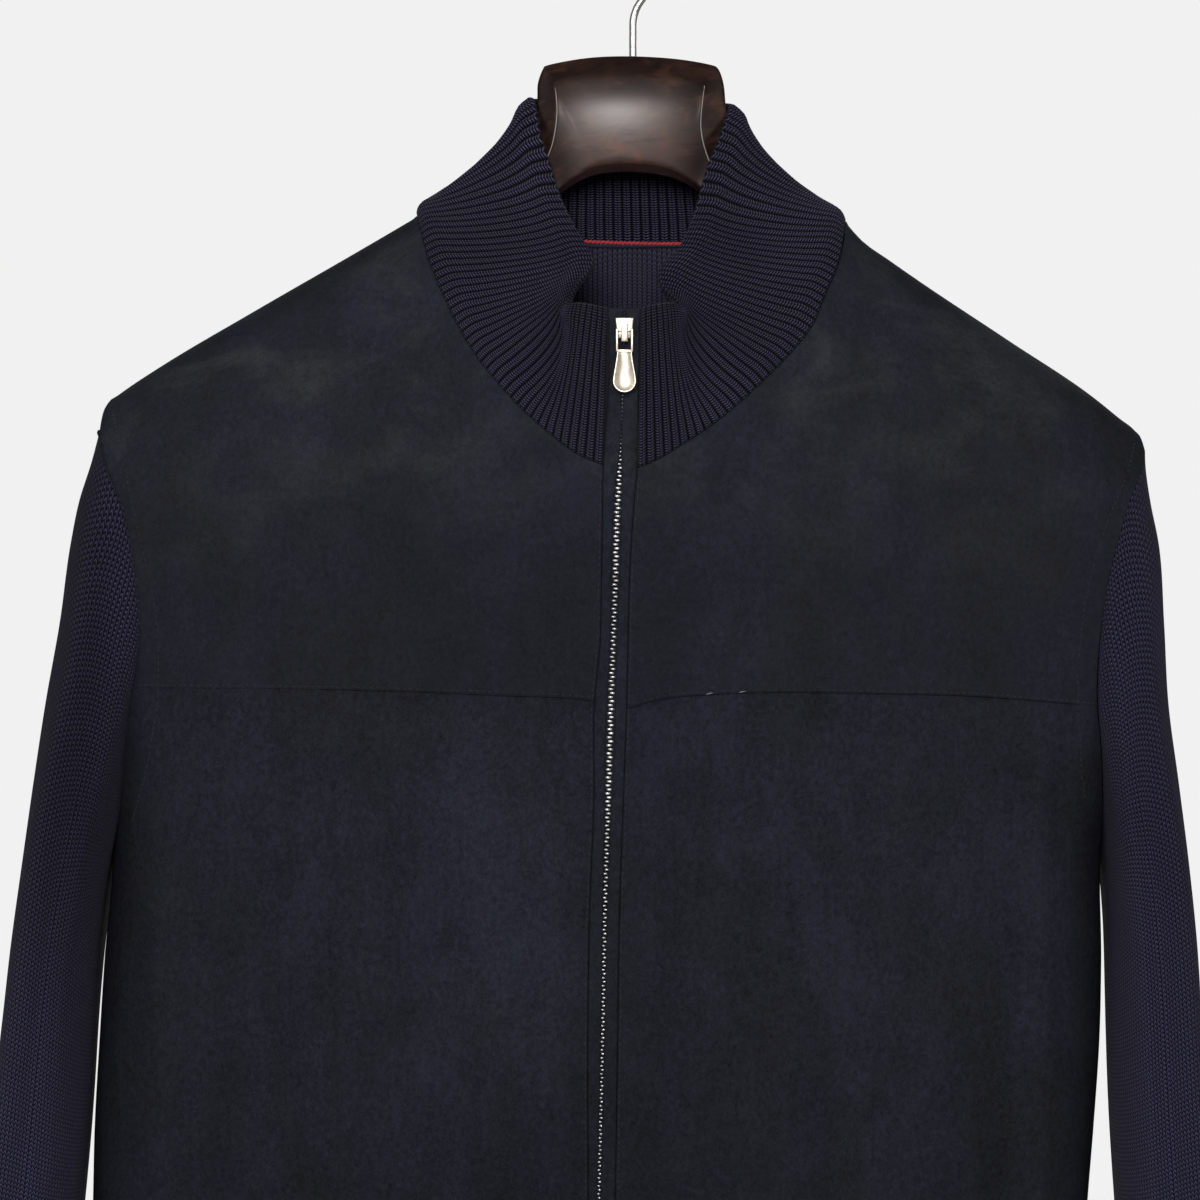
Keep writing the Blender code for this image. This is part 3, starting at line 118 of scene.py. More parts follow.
# Zip
STRIP_RECESS = 0.0008
TAPE_DEPTH = 0.0033
TAPE_WIDTH = 0.012
STRIP_WIDTH = 0.008
STRIP_SINK = 0.0006  # how far the strips sink in towards the zip
TAPE_THREAD = 0.0008
TOOTH_PITCH = 0.0038
TOOTH_HEIGHT = 0.0013
TOOTH_REACH = 0.0029
TOOTH_DEPTH = 0.0018
TOOTH_OVERLAP = 0.0010
HINGE_X = -0.0045
HINGE_Z = -0.2275
SLIDER_TOP, SLIDER_LOW = -0.2216, -0.2314
SLIDER_WIDTH = 0.0087
PLATE = 0.0014
BRIDGE_ROOM = 0.0025  # between the slider's face and its bridge, where the pull tab hangs
TAB_HALF = 0.0006  # half the blade's thickness

# Hanger
GLINTS = ((11, 23), (37, 51))  # stations of the neck whose front ridges carry a painted glint
DOME = (-0.004, -0.118)  # middle of the wood's front, in the front view
DOME_FALL = 0.30  # how much less deep the wood is round the rim of its front
NECK_STATIONS = 61
RING_POINTS = 14
RING_CREASES = {0: 0.75, 2: 0.55, 6: 0.55, 8: 0.75, 12: 0.75, 16: 0.75}
WIRE = 0.0018  # radius of the hook's wire
BEND = 0.0233  # radius of its bend

# Studio
FLOOR = -1.15
CAMERA_AWAY = 2.8
FRAME_WIDTH = 0.582


def table(text):
    """A short table in ten-thousandths (tenths of a millimetre): an array for each column."""
    columns, *rows = [line.split() for line in text.strip().splitlines()]
    return dict(zip(columns, np.array(rows, float).T / 10000))


# The garment's level sections from the hem up: the sides' x and the two depths.
BODY = table("""
        z right left front back
    -8800 -2540 2020   600  560
    -8300 -2620 2110   630  590
    -7400 -2640 2170   670  630
    -6450 -2618 2204   700  650
    -6100 -2610 2232   710  650
    -5650 -2585 2262   720  660
    -5300 -2563 2270   730  660
    -4750 -2520 2270   750  660
    -4000 -2580 2420   770  660
    -3300 -2680 2560   790  630
    -2900 -2720 2620   800  580
    -2300 -2720 2620   790  530
    -1600 -2720 2620   780  470
""")

# The shoulder ridge as the front view draws it, with the height over which the
# cloth rolls from lying on the hanger to hanging straight down.
RIDGE = table("""
        x     z front_roll back_roll
    -2620 -2860        400       400
    -2580 -2720        420       420
    -2569 -2645        430       430
    -2545 -2588        440       440
    -2500 -2552        460       460
    -2440 -2509        490       480
    -2318 -2429        550       500
    -1828 -2138        900       600
    -1324 -1847       1400       720
    -1043 -1682       1650       800
      -20 -1050       1750       820
     1028 -1708       1650       800
     1100 -1790       1600       780
     1240 -1893       1480       740
     1382 -1992       1350       700
     1819 -2283        900       600
     2250 -2574        550       480
     2360 -2663        480       450
     2432 -2720        440       420
     2462 -2758        430       420
     2478 -2810        420       420
     2520 -2900        400       400
""")

# Armhole seams, from the underarm up to the shoulder's end.
ARMHOLE = table("""
        z right left
    -4750 -2520 2270
    -4529 -2462 2262
    -4257 -2437 2246
    -4043 -2408 2223
    -3735 -2356 2232
    -3452 -2370 2271
    -3219 -2412 2330
    -3078 -2442 2372
    -2900 -2520 2450
    -2770 -2556 2476
""")

# Neck seam from the shoulder down to the zip on each side, and behind the neck.
NECK_RIGHT = table("""
        x     z
    -1043 -1682
     -985 -1903
     -908 -2093
     -834 -2244
     -738 -2400
     -623 -2540
     -500 -2669
     -387 -2766
     -275 -2850
     -148 -2906
""")
NECK_LEFT = table("""
       x     z
    1028 -1708
     981 -1932
     918 -2080
     847 -2243
     746 -2371
     621 -2498
     466 -2640
     340 -2737
     230 -2809
     116 -2879
      18 -2920
""")

# Seam across the chest.
CHEST = table("""
        x     z
    -2600 -3965
    -1576 -3966
     -632 -3994
     -190 -4021
      -33 -4054
       76 -4025
      152 -4009
      350 -3992
     1262 -3990
     1535 -3997
     1820 -4016
     2400 -4072
""")

# The middle of the zip and the two folded edges that the strips lie between.
CENTRE = table("""
        z right middle left
    -8800  -300   -225 -150
    -6400  -218   -166  -87
    -5600  -219   -147  -75
    -5000  -210   -136  -66
    -4490  -190   -121  -48
    -4030  -187   -107  -33
    -3730  -160    -97  -26
    -3450  -155    -87  -20
    -3170  -149    -80   -4
    -2900  -146    -66   18
    -2520  -120    -52   22
    -2100  -120    -45   30
""")

# Soft hanging folds: where each one is at mid height, how it leans, how wide it
# is, how far it stands out (or falls in), and between which heights.
FOLDS_FRONT = table("""
        x lean width rise   top bottom
    -2300  200   110   40 -4400  -8400
    -2050  300   130  -34 -4300  -8300
    -1380 -200   220   30 -5000  -8500
     -820  150   180  -24 -5200  -8500
      450 -100   200   28 -5600  -8500
      980  200   160  -30 -5000  -8400
     1550 -150   200   26 -5400  -8500
     1960  200   100   42 -4200  -8300
     1750  250   120  -30 -4400  -8000
""")
FOLDS_BACK = table("""
        x lean width rise   top bottom
    -1900  250   200   50 -4300  -8500
    -1100 -200   240  -40 -3800  -8400
     -200  150   280   46 -4600  -8500
      700 -100   240  -42 -4000  -8400
     1500  200   200   50 -4400  -8500
""")
FOLDS = {FRONT: FOLDS_FRONT, BACK: FOLDS_BACK}
FOLD_MIDDLE = -0.640
FOLD_FADE = 0.090

# Each collar half's top edge from the zip round to the side of the neck, folded
# once on itself: the place along the neck seam below, then the point.
COLLAR_RIGHT = table("""
    along    x    y     z
        0 -122 -840 -2170
      700 -193 -850 -2157
     1200 -250 -850 -2148
     1800 -298 -842 -2147
     2350 -330 -815 -2152
     2750 -341 -780 -2150
     3400 -325 -745 -2115
     4200 -290 -715 -2060
     5000 -253 -680 -2005
     5700 -218 -625 -1955
     6370 -200 -550 -1895
     7000 -228 -490 -1835
     7600 -268 -440 -1770
     8300 -325 -365 -1665
     9000 -378 -300 -1545
     9500 -420 -250 -1420
    10000 -470 -172 -1280
""")
COLLAR_LEFT = table("""
    along   x    y     z
        0  33 -840 -2170
      500  85 -850 -2157
     1000 142 -850 -2148
     1800 200 -842 -2147
     2400 232 -815 -2153
     2850 243 -780 -2152
     3500 215 -750 -2115
     4200 172 -722 -2075
     4800 137 -685 -2030
     5500 130 -620 -1960
     6100 165 -550 -1905
     6600 205 -495 -1865
     7700 262 -410 -1760
     8700 313 -320 -1632
     9400 370 -252 -1450
    10000 428 -190 -1320
""")
# The collar's top edge behind the hanger's neck, from side to side.
COLLAR_BACK = table("""
    along    x    y     z
        0 -470 -172 -1280
      500 -498  -90 -1140
     1000 -516    0 -1092
     1800 -515  120 -1086
     2800 -474  245 -1084
     3900 -270  320 -1086
     5000  -20  345 -1088
     6100  230  322 -1094
     7200  440  246 -1102
     8200  500  122 -1112
     9000  498    0 -1134
     9500  476  -95 -1195
    10000  428 -190 -1320
""")
# How far the collar's wall stands outside a straight line up to its top edge.
COLLAR_BULGE = table("""
       up side front
        0    0     0
     1000   26    14
     2200    5    12
     3800  -22    10
     5300  -37     5
     6600  -43     0
     8000  -35     0
     9000  -18     0
    10000    0     0
""")
PINCH_ALONG = 0.27  # where the fold pinches each half in below its top corner
PINCH_SPREAD = 0.095
PINCH_IN = 0.0095
PINCH_BACK = 0.0055
COLLAR_SIDE_FROM = 0.25  # place along each half from which the side's bulge sets in
COLLAR_SIDE_OVER = 0.60
BACK_COLLAR_STRAIGHTER = 0.6

# Sleeves as they hang: the outer edge and the edge beside the body.
SLEEVE_EDGE = table("""
        z right left right_in left_in
    -9300 -3545 3060    -3085    2660
    -9000 -3520 3040    -3060    2645
    -8700 -3490 3010    -3010    2600
    -8400 -3430 2985    -2920    2530
    -7500 -3290 2900    -2795    2440
    -6500 -3160 2810    -2668    2345
    -5900 -3085 2765    -2618    2310
    -5581 -3046 2745    -2602    2302
    -5193 -3002 2721    -2578    2298
    -4805 -2949 2682    -2552    2294
    -4417 -2895 2634    -2530    2290
    -4029 -2837 2585    -2530    2290
    -3641 -2769 2566    -2530    2290
    -3253 -2716 2541    -2530    2290
    -3059 -2677 2503    -2530    2290
    -2865 -2616 2478    -2530    2290
    -2720 -2578 2478    -2530    2290
""")
# Rings of the sleeve below the armhole: heights of the outer and inner edges,
# half the depth from front to back, how much of the armhole's shape is left, and
# how strongly the long folds show.
SLEEVE_RINGS = table("""
    outer inner depth armhole folds
    -2990 -4790   470    9500     0
    -3280 -4830   500    8200  1500
    -3620 -4890   530    6200  4000
    -4000 -4980   560    4200  7000
    -4400 -5120   590    2400  9000
    -4800 -5310   605    1100 10000
    -5200 -5570   610     400 10000
    -5650 -5920   605       0 10000
    -6200 -6380   590       0 10000
    -6800 -6900   570       0  9000
    -7400 -7450   545       0  7000
    -8000 -8010   510       0  4000
    -8520 -8520   470       0     0
""")
CUFF_RINGS = table("""
    outer inner depth armhole folds
    -8520 -8520   470       0     0
    -8680 -8680   425       0     0
    -8940 -8940   415       0     0
    -9200 -9200   415       0     0
""")
ARMHOLE_DEPTH = 0.045  # half the armhole's own depth
SLEEVE_Y = -0.001  # middle of the hanging sleeve
SLEEVE_ROUNDNESS = 2.4
# Long soft folds down each sleeve: the place round the sleeve (0 at the outer
# edge, a quarter at the front), how wide, and how far each one rises or falls.
SLEEVE_FOLDS = table("""
    round spread rise
     1500    350   30
     2400    400  -26
     6600    400   34
     8000    450  -28
""")

# Stations along the hanger's neck, from the -X arm to the +X arm: points of the
# upper outline, of the ridge where the bevel meets the front, and of the lower
# outline, with half the depth.
NECK_BLOCK = table("""
    top_x top_z ridge_x ridge_z low_x low_z depth
     -960 -1775    -905   -1900  -900 -2110   172
     -800 -1665    -735   -1785  -740 -1970   165
     -670 -1535    -590   -1650  -590 -1825   160
     -560 -1390    -470   -1510  -455 -1680   155
     -482 -1240    -400   -1375  -345 -1572   150
     -464 -1120    -374   -1265  -270 -1525   150
     -462 -1045    -367   -1170  -215 -1500   150
     -437  -974    -374   -1085  -175 -1490   150
     -405  -951    -370   -1040  -140 -1484   150
     -220  -918    -215   -1003   -85 -1479   150
      -20  -910     -20    -992   -20 -1478   150
      200  -922     198   -1008    65 -1482   150
      370  -950     335   -1045   120 -1490   150
      415  -974     340   -1090   160 -1497   150
      440 -1050     330   -1170   205 -1508   150
      448 -1140     325   -1260   265 -1535   150
      466 -1260     345   -1365   345 -1590   150
      540 -1410     410   -1510   455 -1700   155
      650 -1555     560   -1665   590 -1845   160
      790 -1695     720   -1810   740 -2000   165
      940 -1815     885   -1930   900 -2145   172
""")
# How far each strip's folded edge stays from the middle of the zip.
ZIP_GAP = table("""
        z half
    -8760    7
    -5600    7
    -5000    9
    -4600   13
    -4350   18
    -4050   18
    -3700   14
    -3350   18
    -3100   17
    -2950   11
    -2860    4
    -2500    3
    -2170    4
""")

# The line stitched inside each armhole seam, from the shoulder down.
ARMHOLE_STITCH_RIGHT = table("""
        x     z
    -2500 -2650
    -2440 -2860
    -2410 -3000
    -2370 -3180
    -2318 -3400
    -2285 -3560
    -2270 -3700
    -2266 -3880
    -2275 -4070
    -2305 -4220
    -2330 -4360
    -2378 -4520
    -2405 -4610
""")
ARMHOLE_STITCH_LEFT = table("""
       x     z
    2410 -2790
    2345 -2980
    2275 -3130
    2225 -3280
    2180 -3430
    2145 -3610
    2128 -3760
    2120 -3900
    2125 -4080
    2136 -4220
    2142 -4340
    2165 -4500
""")

# The hook's wire from the wood up to where its round bend starts.
HOOK_STEM = table("""
      x    z
      0 -907
      0 -800
      4 -715
     22 -665
     52 -620
    105 -530
    150 -440
""")


def smooth(places, values, at):
    """The smooth curve through a table's points, read at one or more places."""
    at = np.asarray(at, float)
    slopes = np.gradient(values, places)
    i = np.clip(np.searchsorted(places, at, side="right") - 1, 0, len(places) - 2)
    step = places[i + 1] - places[i]
    t = np.clip((at - places[i]) / step, 0, 1)
    start = values[i] * (1 + 2 * t) * (1 - t) ** 2 + slopes[i] * step * t * (1 - t) ** 2
    end = values[i + 1] * t**2 * (3 - 2 * t) + slopes[i + 1] * step * t**2 * (t - 1)
    return start + end


def ease(t):
    t = np.clip(t, 0, 1)
    return t * t * (3 - 2 * t)


def unit(vectors):
    return vectors / np.maximum(np.linalg.norm(vectors, axis=-1, keepdims=True), 1e-12)


def spread(points, shares):
    """Points at these shares of the length of the smooth curve through the points."""
    run = np.concatenate([[0], np.cumsum(np.linalg.norm(np.diff(points, axis=0), axis=1))])
    at = np.asarray(shares) * run[-1]
    return np.stack([smooth(run, points[:, i], at) for i in range(points.shape[1])], axis=1)


def section_curve():
    """A quarter of the body's level section: w, x and depth, each from 0 to 1."""
    angle = np.linspace(0, math.pi / 2, 400)
    x = np.sin(angle) ** (2 / ROUNDNESS)
    y = np.cos(angle) ** (2 / ROUNDNESS)
    y[-1] = 0
    length = np.hypot(np.diff(x), np.diff(y) * SECTION_ASPECT)
    w = np.concatenate([[0], np.cumsum(length)])
    return w / w[-1], x, y


SECTION_W, SECTION_X, SECTION_Y = section_curve()


def read(rows, column, z):
    """A table's column at these heights."""
    return smooth(rows["z"], rows[column], z)


def ridge_height(x):
    return smooth(RIDGE["x"], RIDGE["z"], x)


def chest_height(x):
    return smooth(CHEST["x"], CHEST["z"], x)


def side_name(side):
    return "right" if side < 0 else "left"


ARMHOLE_AT_CHEST = {side: float(read(ARMHOLE, side_name(side), CHEST_LEVEL)) for side in (-1, 1)}


def fold_relief(face, x, z):
    """How far the hanging folds stand out of a sheet."""
    relief = np.zeros_like(x)
    for place, lean, width, rise, top, bottom in zip(*FOLDS[face].values()):
        middle = place + lean * (z - FOLD_MIDDLE)
        fade = ease((top - z) / FOLD_FADE) * ease((z - bottom) / FOLD_FADE)
        relief += rise * fade * np.exp(-(((x - middle) / width) ** 2))
    return relief


def body_x(w, z):
    """The x of a sheet's place w at these heights."""
    across = np.interp(np.abs(w), SECTION_W, SECTION_X) * np.sign(w)
    right, left = read(BODY, "right", z), read(BODY, "left", z)
    return (right + left) / 2 + across * (left - right) / 2


def roll_of(face, x):
    return smooth(RIDGE["x"], RIDGE["front_roll" if face == FRONT else "back_roll"], x)


def place_of(face, x, z):
    """The (w, e) of the sheet's point that a straight front view shows at x, z."""
    right, left = read(BODY, "right", z), read(BODY, "left", z)
    fraction = np.clip((2 * x - right - left) / (left - right), -1, 1)
    w = np.interp(np.abs(fraction), SECTION_X, SECTION_W) * np.sign(fraction)
    drop = np.maximum(ridge_height(x) - z, 0)
    roll = roll_of(face, x)
    rolled = roll * np.arccos(np.clip(1 - drop / roll, 0, 1)) / (math.pi / 2)
    return np.stack([w, np.where(drop < roll, rolled, drop)], axis=-1)


def cloth_point(face, places):
    """The outer face of the front or back sheet at each (w, e)."""
    w, e = places[..., 0], places[..., 1]
    z = RIDGE["z"].max() - e
    for _ in range(SETTLING_STEPS):
        x = body_x(w, z)
        roll = roll_of(face, x)
        turned = np.clip(e / roll, 0, 1) * math.pi / 2
        drop = np.where(e < roll, roll * (1 - np.cos(turned)), e)
        z = ridge_height(x) - drop
    deep = np.interp(np.abs(w), SECTION_W, SECTION_Y) * np.sin(turned)
    out = (read(BODY, "front" if face == FRONT else "back", z) + fold_relief(face, x, z)) * deep
    return np.stack([x, SEAM_Y + face * out, z], axis=-1)


def cloth_normal(face, places):
    """Unit vectors out of the sheet, from small steps along w and e."""
    step_w = np.array([2e-3, 0])
    step_e = np.array([0, 4e-4])
    forward = np.where(places[..., :1] > 0, places - step_w, places)
    along_w = cloth_point(face, forward + step_w) - cloth_point(face, forward)
    lower = places + step_e
    along_e = cloth_point(face, lower) - cloth_point(face, places)
    return unit(np.cross(along_e, along_w)) * -face


def patch(low, high, start, end, rows_at, columns_at):
    """A grid of places inside four edges: rows go from low to high."""
    v = rows_at[:, None, None]
    u = columns_at[None, :, None]
    ruled = (1 - v) * low[None] + v * high[None] + (1 - u) * start[:, None] + u * end[:, None]
    corners = (1 - v) * ((1 - u) * low[0] + u * low[-1]) + v * ((1 - u) * high[0] + u * high[-1])
    return ruled - corners


def grid_normal(grid, wraps=False):
    """Unit vectors across a grid of points, by its own neighbours."""
    up = np.gradient(grid, axis=0)
    along = np.gradient(grid, axis=1)
    if wraps:
        along[:, 0] = along[:, -1] = grid[:, 1] - grid[:, -2]
    return unit(np.cross(along, up))


def rimmed(shares, length, thickness, start=1.0, end=1.0):
    """Shares with a few more beside both ends, and how full the rounded cloth is at each.

    start and end are how round each edge is: 1 for a fold, less for a trimmed edge.
    """
    first, last = np.array([start, end]) * thickness / 2 / length
    inside = shares[(shares > 1.6 * first) & (shares < 1 - 1.6 * last)]
    at = np.concatenate([first * RIM_STEPS, inside, 1 - last * RIM_STEPS[::-1]])
    away = np.clip(np.minimum(at / first, (1 - at) / last), 0, 1)
    return at, np.sqrt(1 - (1 - away) ** 2)


def parted(*runs):
    """Even shares in several runs, each given as (its end, its count)."""
    shares, start = [np.zeros(1)], 0
    for end, count in runs:
        shares.append(np.linspace(start, end, count + 1)[1:])
        start = end
    return np.concatenate(shares)


def rolled(shares):
    """Shares that draw closer together towards 1, where the cloth rolls over."""
    return 1 - (1 - shares) ** ROLL_CROWDING


def finished(name, mesh, material, body="cardigan", slot=None, replaces=()):
    """The mesh as a piece of the garment, in its finish, that rides on its body."""
    piece = bpy.data.objects.new(name, mesh)
    bpy.context.scene.collection.objects.link(piece)
    mesh.materials.clear()
    mesh.materials.append(material)
    mesh.shade_smooth()
    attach(piece, body)
    if replaces:
        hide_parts(*replaces)
    return piece


def shell(outer, inner, counts):
    """A closed cloth of two grids that meet along their edges, as a mesh.

    counts are the stitches across and up at each point, kept as the UV map.
    """
    rows, columns = outer.shape[:2]
    bm = bmesh.new()
    bm.loops.layers.uv.new("UVMap")
    for side in (outer, inner):
        made = bmesh.ops.create_grid(
            bm, x_segments=columns - 1, y_segments=rows - 1, size=0.5, calc_uvs=True
        )
        for vert, place in zip(made["verts"], side.reshape(-1, 3)):
            vert.co = place
    mesh = bpy.data.meshes.new("cloth")
    bm.to_mesh(mesh)
    bm.free()
    layer = mesh.uv_layers[0].data
    uv = np.zeros(len(layer) * 2, np.float32)
    layer.foreach_get("uv", uv)
    at = np.round(uv.reshape(-1, 2) * (columns - 1, rows - 1)).astype(int)
    layer.foreach_set("uv", counts[at[:, 1], at[:, 0]].astype(np.float32).ravel())
    bm = bmesh.new()
    bm.from_mesh(mesh)
    bmesh.ops.remove_doubles(bm, verts=bm.verts, dist=1e-6)
    bmesh.ops.recalc_face_normals(bm, faces=bm.faces)
    bm.to_mesh(mesh)
    bm.free()
    return mesh


def cloth(name, surface, normals, thickness, full, counts, material, slot, node, ribs=0.0):
    """A piece of cloth whose plain outer face is the surface, in place of the solid's node."""
    middle = surface - normals * thickness / 2
    full = np.broadcast_to(full, surface.shape[:2])
    lift = (full * thickness / 2)[..., None]
    wave = (full * ribs)[..., None]
    mesh = shell(middle + normals * (lift + wave), middle - normals * (lift - wave), counts)
    return finished(name, mesh, material, slot=slot, replaces=[node])


def counted(across, up):
    """Stitch counts for a grid: across for each column, up for each row."""
    return np.stack(np.broadcast_arrays(across[None], up[:, None]), axis=-1)


def grid_of(x, y, z):
    """Points of a grid from an x at each point, and a y and a z for each row."""
    return np.stack(np.broadcast_arrays(x, y[:, None], z[:, None]), axis=-1)


def front_view(seam):
    """The points (x, z) of a seam's table."""
    return np.stack([seam["x"], seam["z"]], axis=1)


def rib_wave(count):
    """The cross section of rib knit: broad ridges between narrow valleys."""
    return 1 - 2 * np.abs(2 * (count % 1) - 1) ** 2.2


def centre_edge(side, z):
    """The folded edge of a front beside the zip, at each height."""
    return read(CENTRE, side_name(side), z)


def neck_seam(side, shares):
    """Front view points (x, z) of the neck seam, from the zip to the shoulder."""
    return spread(front_view(NECK_RIGHT if side < 0 else NECK_LEFT)[::-1], shares)


def shoulder_seam(side, shares):
    """Front view points (x, z) of the shoulder, from the neck out to the sleeve."""
    seam = NECK_RIGHT if side < 0 else NECK_LEFT
    x = np.linspace(seam["x"][0], SHOULDER_END[side], 60)
    return spread(np.stack([x, ridge_height(x)], axis=1), rolled(shares))


def armhole_places(face, side, steps):
    """Places up the armhole, 0 to 4 from underarm to chest seam and 12 at the shoulder."""
    chest_z = float(chest_height(ARMHOLE_AT_CHEST[side]))
    low, high = (
        np.stack([read(ARMHOLE, side_name(side), z), z], axis=1)
        for z in (np.linspace(UNDERARM, chest_z, 40), np.linspace(chest_z, ARMHOLE_TOP[side], 40))
    )
    end = SHOULDER_END[side]
    high = np.concatenate([high, [(end, ridge_height(end))]])
    low_at = np.clip(steps / LOW_ARMHOLE, 0, 1)
    high_at = np.clip((steps - LOW_ARMHOLE) / (WHOLE_ARMHOLE - LOW_ARMHOLE), 0, 1)
    on_low = (steps <= LOW_ARMHOLE)[:, None]
    points = np.where(on_low, spread(low, low_at), spread(high, rolled(high_at)))
    places = place_of(face, points[:, 0], points[:, 1])
    places[steps == 0, 0] = side
    places[steps == WHOLE_ARMHOLE, 1] = 0
    return places


def side_places(face, side, low, high, shares):
    """Places up a side seam between two heights."""
    z = low + (high - low) * shares
    places = place_of(face, read(BODY, side_name(side), z), z)
    places[:, 0] = side
    return places


def level_row(face, x_from, x_to, height_at, shares):
    """Places along a row whose height is a function of x, at shares of w."""
    ends = np.array([x_from, x_to], float)
    w_from, w_to = place_of(face, ends, height_at(ends))[:, 0]
    w = w_from + (w_to - w_from) * shares
    z = np.full_like(w, height_at(ends)[0])
    for _ in range(SETTLING_STEPS):
        x = body_x(w, z)
        z = height_at(x)
    return np.stack([w, place_of(face, x, z)[:, 1]], axis=1)


def level(z):
    """A row's height that is the same at every x."""
    return lambda x: np.full_like(x, z)


def centre_places(side, low, high, shares):
    z = low + (high - low) * shares
    return place_of(FRONT, centre_edge(side, z), z)


def front_top(side, shares):
    """Places along a front's top edge: the neck seam from the zip, then the shoulder."""
    neck = neck_seam(side, np.clip(shares / NECK_SHARE, 0, 1))
    shoulder = shoulder_seam(side, np.clip((shares - NECK_SHARE) / (1 - NECK_SHARE), 0, 1))
    points = np.where((shares <= NECK_SHARE)[:, None], neck, shoulder)
    places = place_of(FRONT, points[:, 0], points[:, 1])
    places[shares >= NECK_SHARE, 1] = 0
    return places


def body_cloth(name, face, places, thickness, full, material, slot, node):
    """A piece of the front or back sheet, with its fine stitches counted along both ways."""
    surface = cloth_point(face, places)
    normals = grid_normal(surface)
    if np.mean(normals[..., 1]) * face < 0:
        normals = -normals
    counts = places * (HALF_GIRTH / FINE_WALE, 1 / FINE_COURSE)
    return cloth(name, surface, normals, thickness, full, counts, material, slot, node)


def suede_front(side):
    """The upper and lower front of one side, from the zip out to the armhole."""
    name = side_name(side)
    across, full_across = rimmed(parted((NECK_SHARE, 66), (1, 56)), 0.22, SUEDE, 0.7, 0.4)

    def panel(part, low, high, start, end, up, full_up, material):
        places = patch(low, high, start, end, up, across)
        return body_cloth(
            f"front_{name}_{part}_suede", FRONT, places, SUEDE, np.outer(full_up, full_across),
            material, f"suede_{part}", f"front_{name}_{part}",
        )

    up, full_up = rimmed(rolled(parted((1, 90))), 0.15, SUEDE, 0.1, 0.7)
    chest_start = float(centre_edge(side, CHEST_LEVEL))
    chest_z = float(chest_height(chest_start))
    chest = level_row(FRONT, chest_start, ARMHOLE_AT_CHEST[side], chest_height, across)
    top = front_top(side, across)
    end = armhole_places(FRONT, side, LOW_ARMHOLE + up * (WHOLE_ARMHOLE - LOW_ARMHOLE))
    chest[-1], end[-1] = end[0], top[-1]
    start = centre_places(side, chest_z, float(neck_seam(side, np.zeros(1))[0, 1]), up)
    start[0], start[-1] = chest[0], top[0]
    upper = panel("upper", chest, top, start, end, up, full_up, SUEDE_UPPER)
    up, full_up = rimmed(parted((SIDE_SHARE, 80), (1, 24)), 0.41, SUEDE, 0.7, 0.1)
    hem_start = float(centre_edge(side, BAND_TOP))
    hem = level_row(FRONT, hem_start, read(BODY, name, BAND_TOP), level(BAND_TOP), across)
    seam = side_places(FRONT, side, BAND_TOP, UNDERARM, np.clip(up / SIDE_SHARE, 0, 1))
    steps = np.clip((up - SIDE_SHARE) / (1 - SIDE_SHARE), 0, 1) * LOW_ARMHOLE
    end = np.where((up <= SIDE_SHARE)[:, None], seam, armhole_places(FRONT, side, steps))
    hem[-1], end[-1] = end[0], chest[-1]
    start = centre_places(side, BAND_TOP, chest_z, up)
    start[0], start[-1] = hem[0], chest[0]
    return upper, panel("lower", hem, chest, start, end, up, full_up, SUEDE_LOWER)


def back_neck(shares):
    """Places of the seam behind the neck, from shoulder to shoulder."""
    ends = np.array([NECK_RIGHT["x"][0], NECK_LEFT["x"][0]])
    x = ends[0] + (ends[1] - ends[0]) * shares
    level = np.interp(x, ends, ridge_height(ends))
    curve = ((x - ends.mean()) / (ends[1] - ends.mean())) ** 2
    places = place_of(BACK, x, BACK_NECK_DROP + (level - BACK_NECK_DROP) * curve)
    places[(shares == 0) | (shares == 1), 1] = 0
    return places


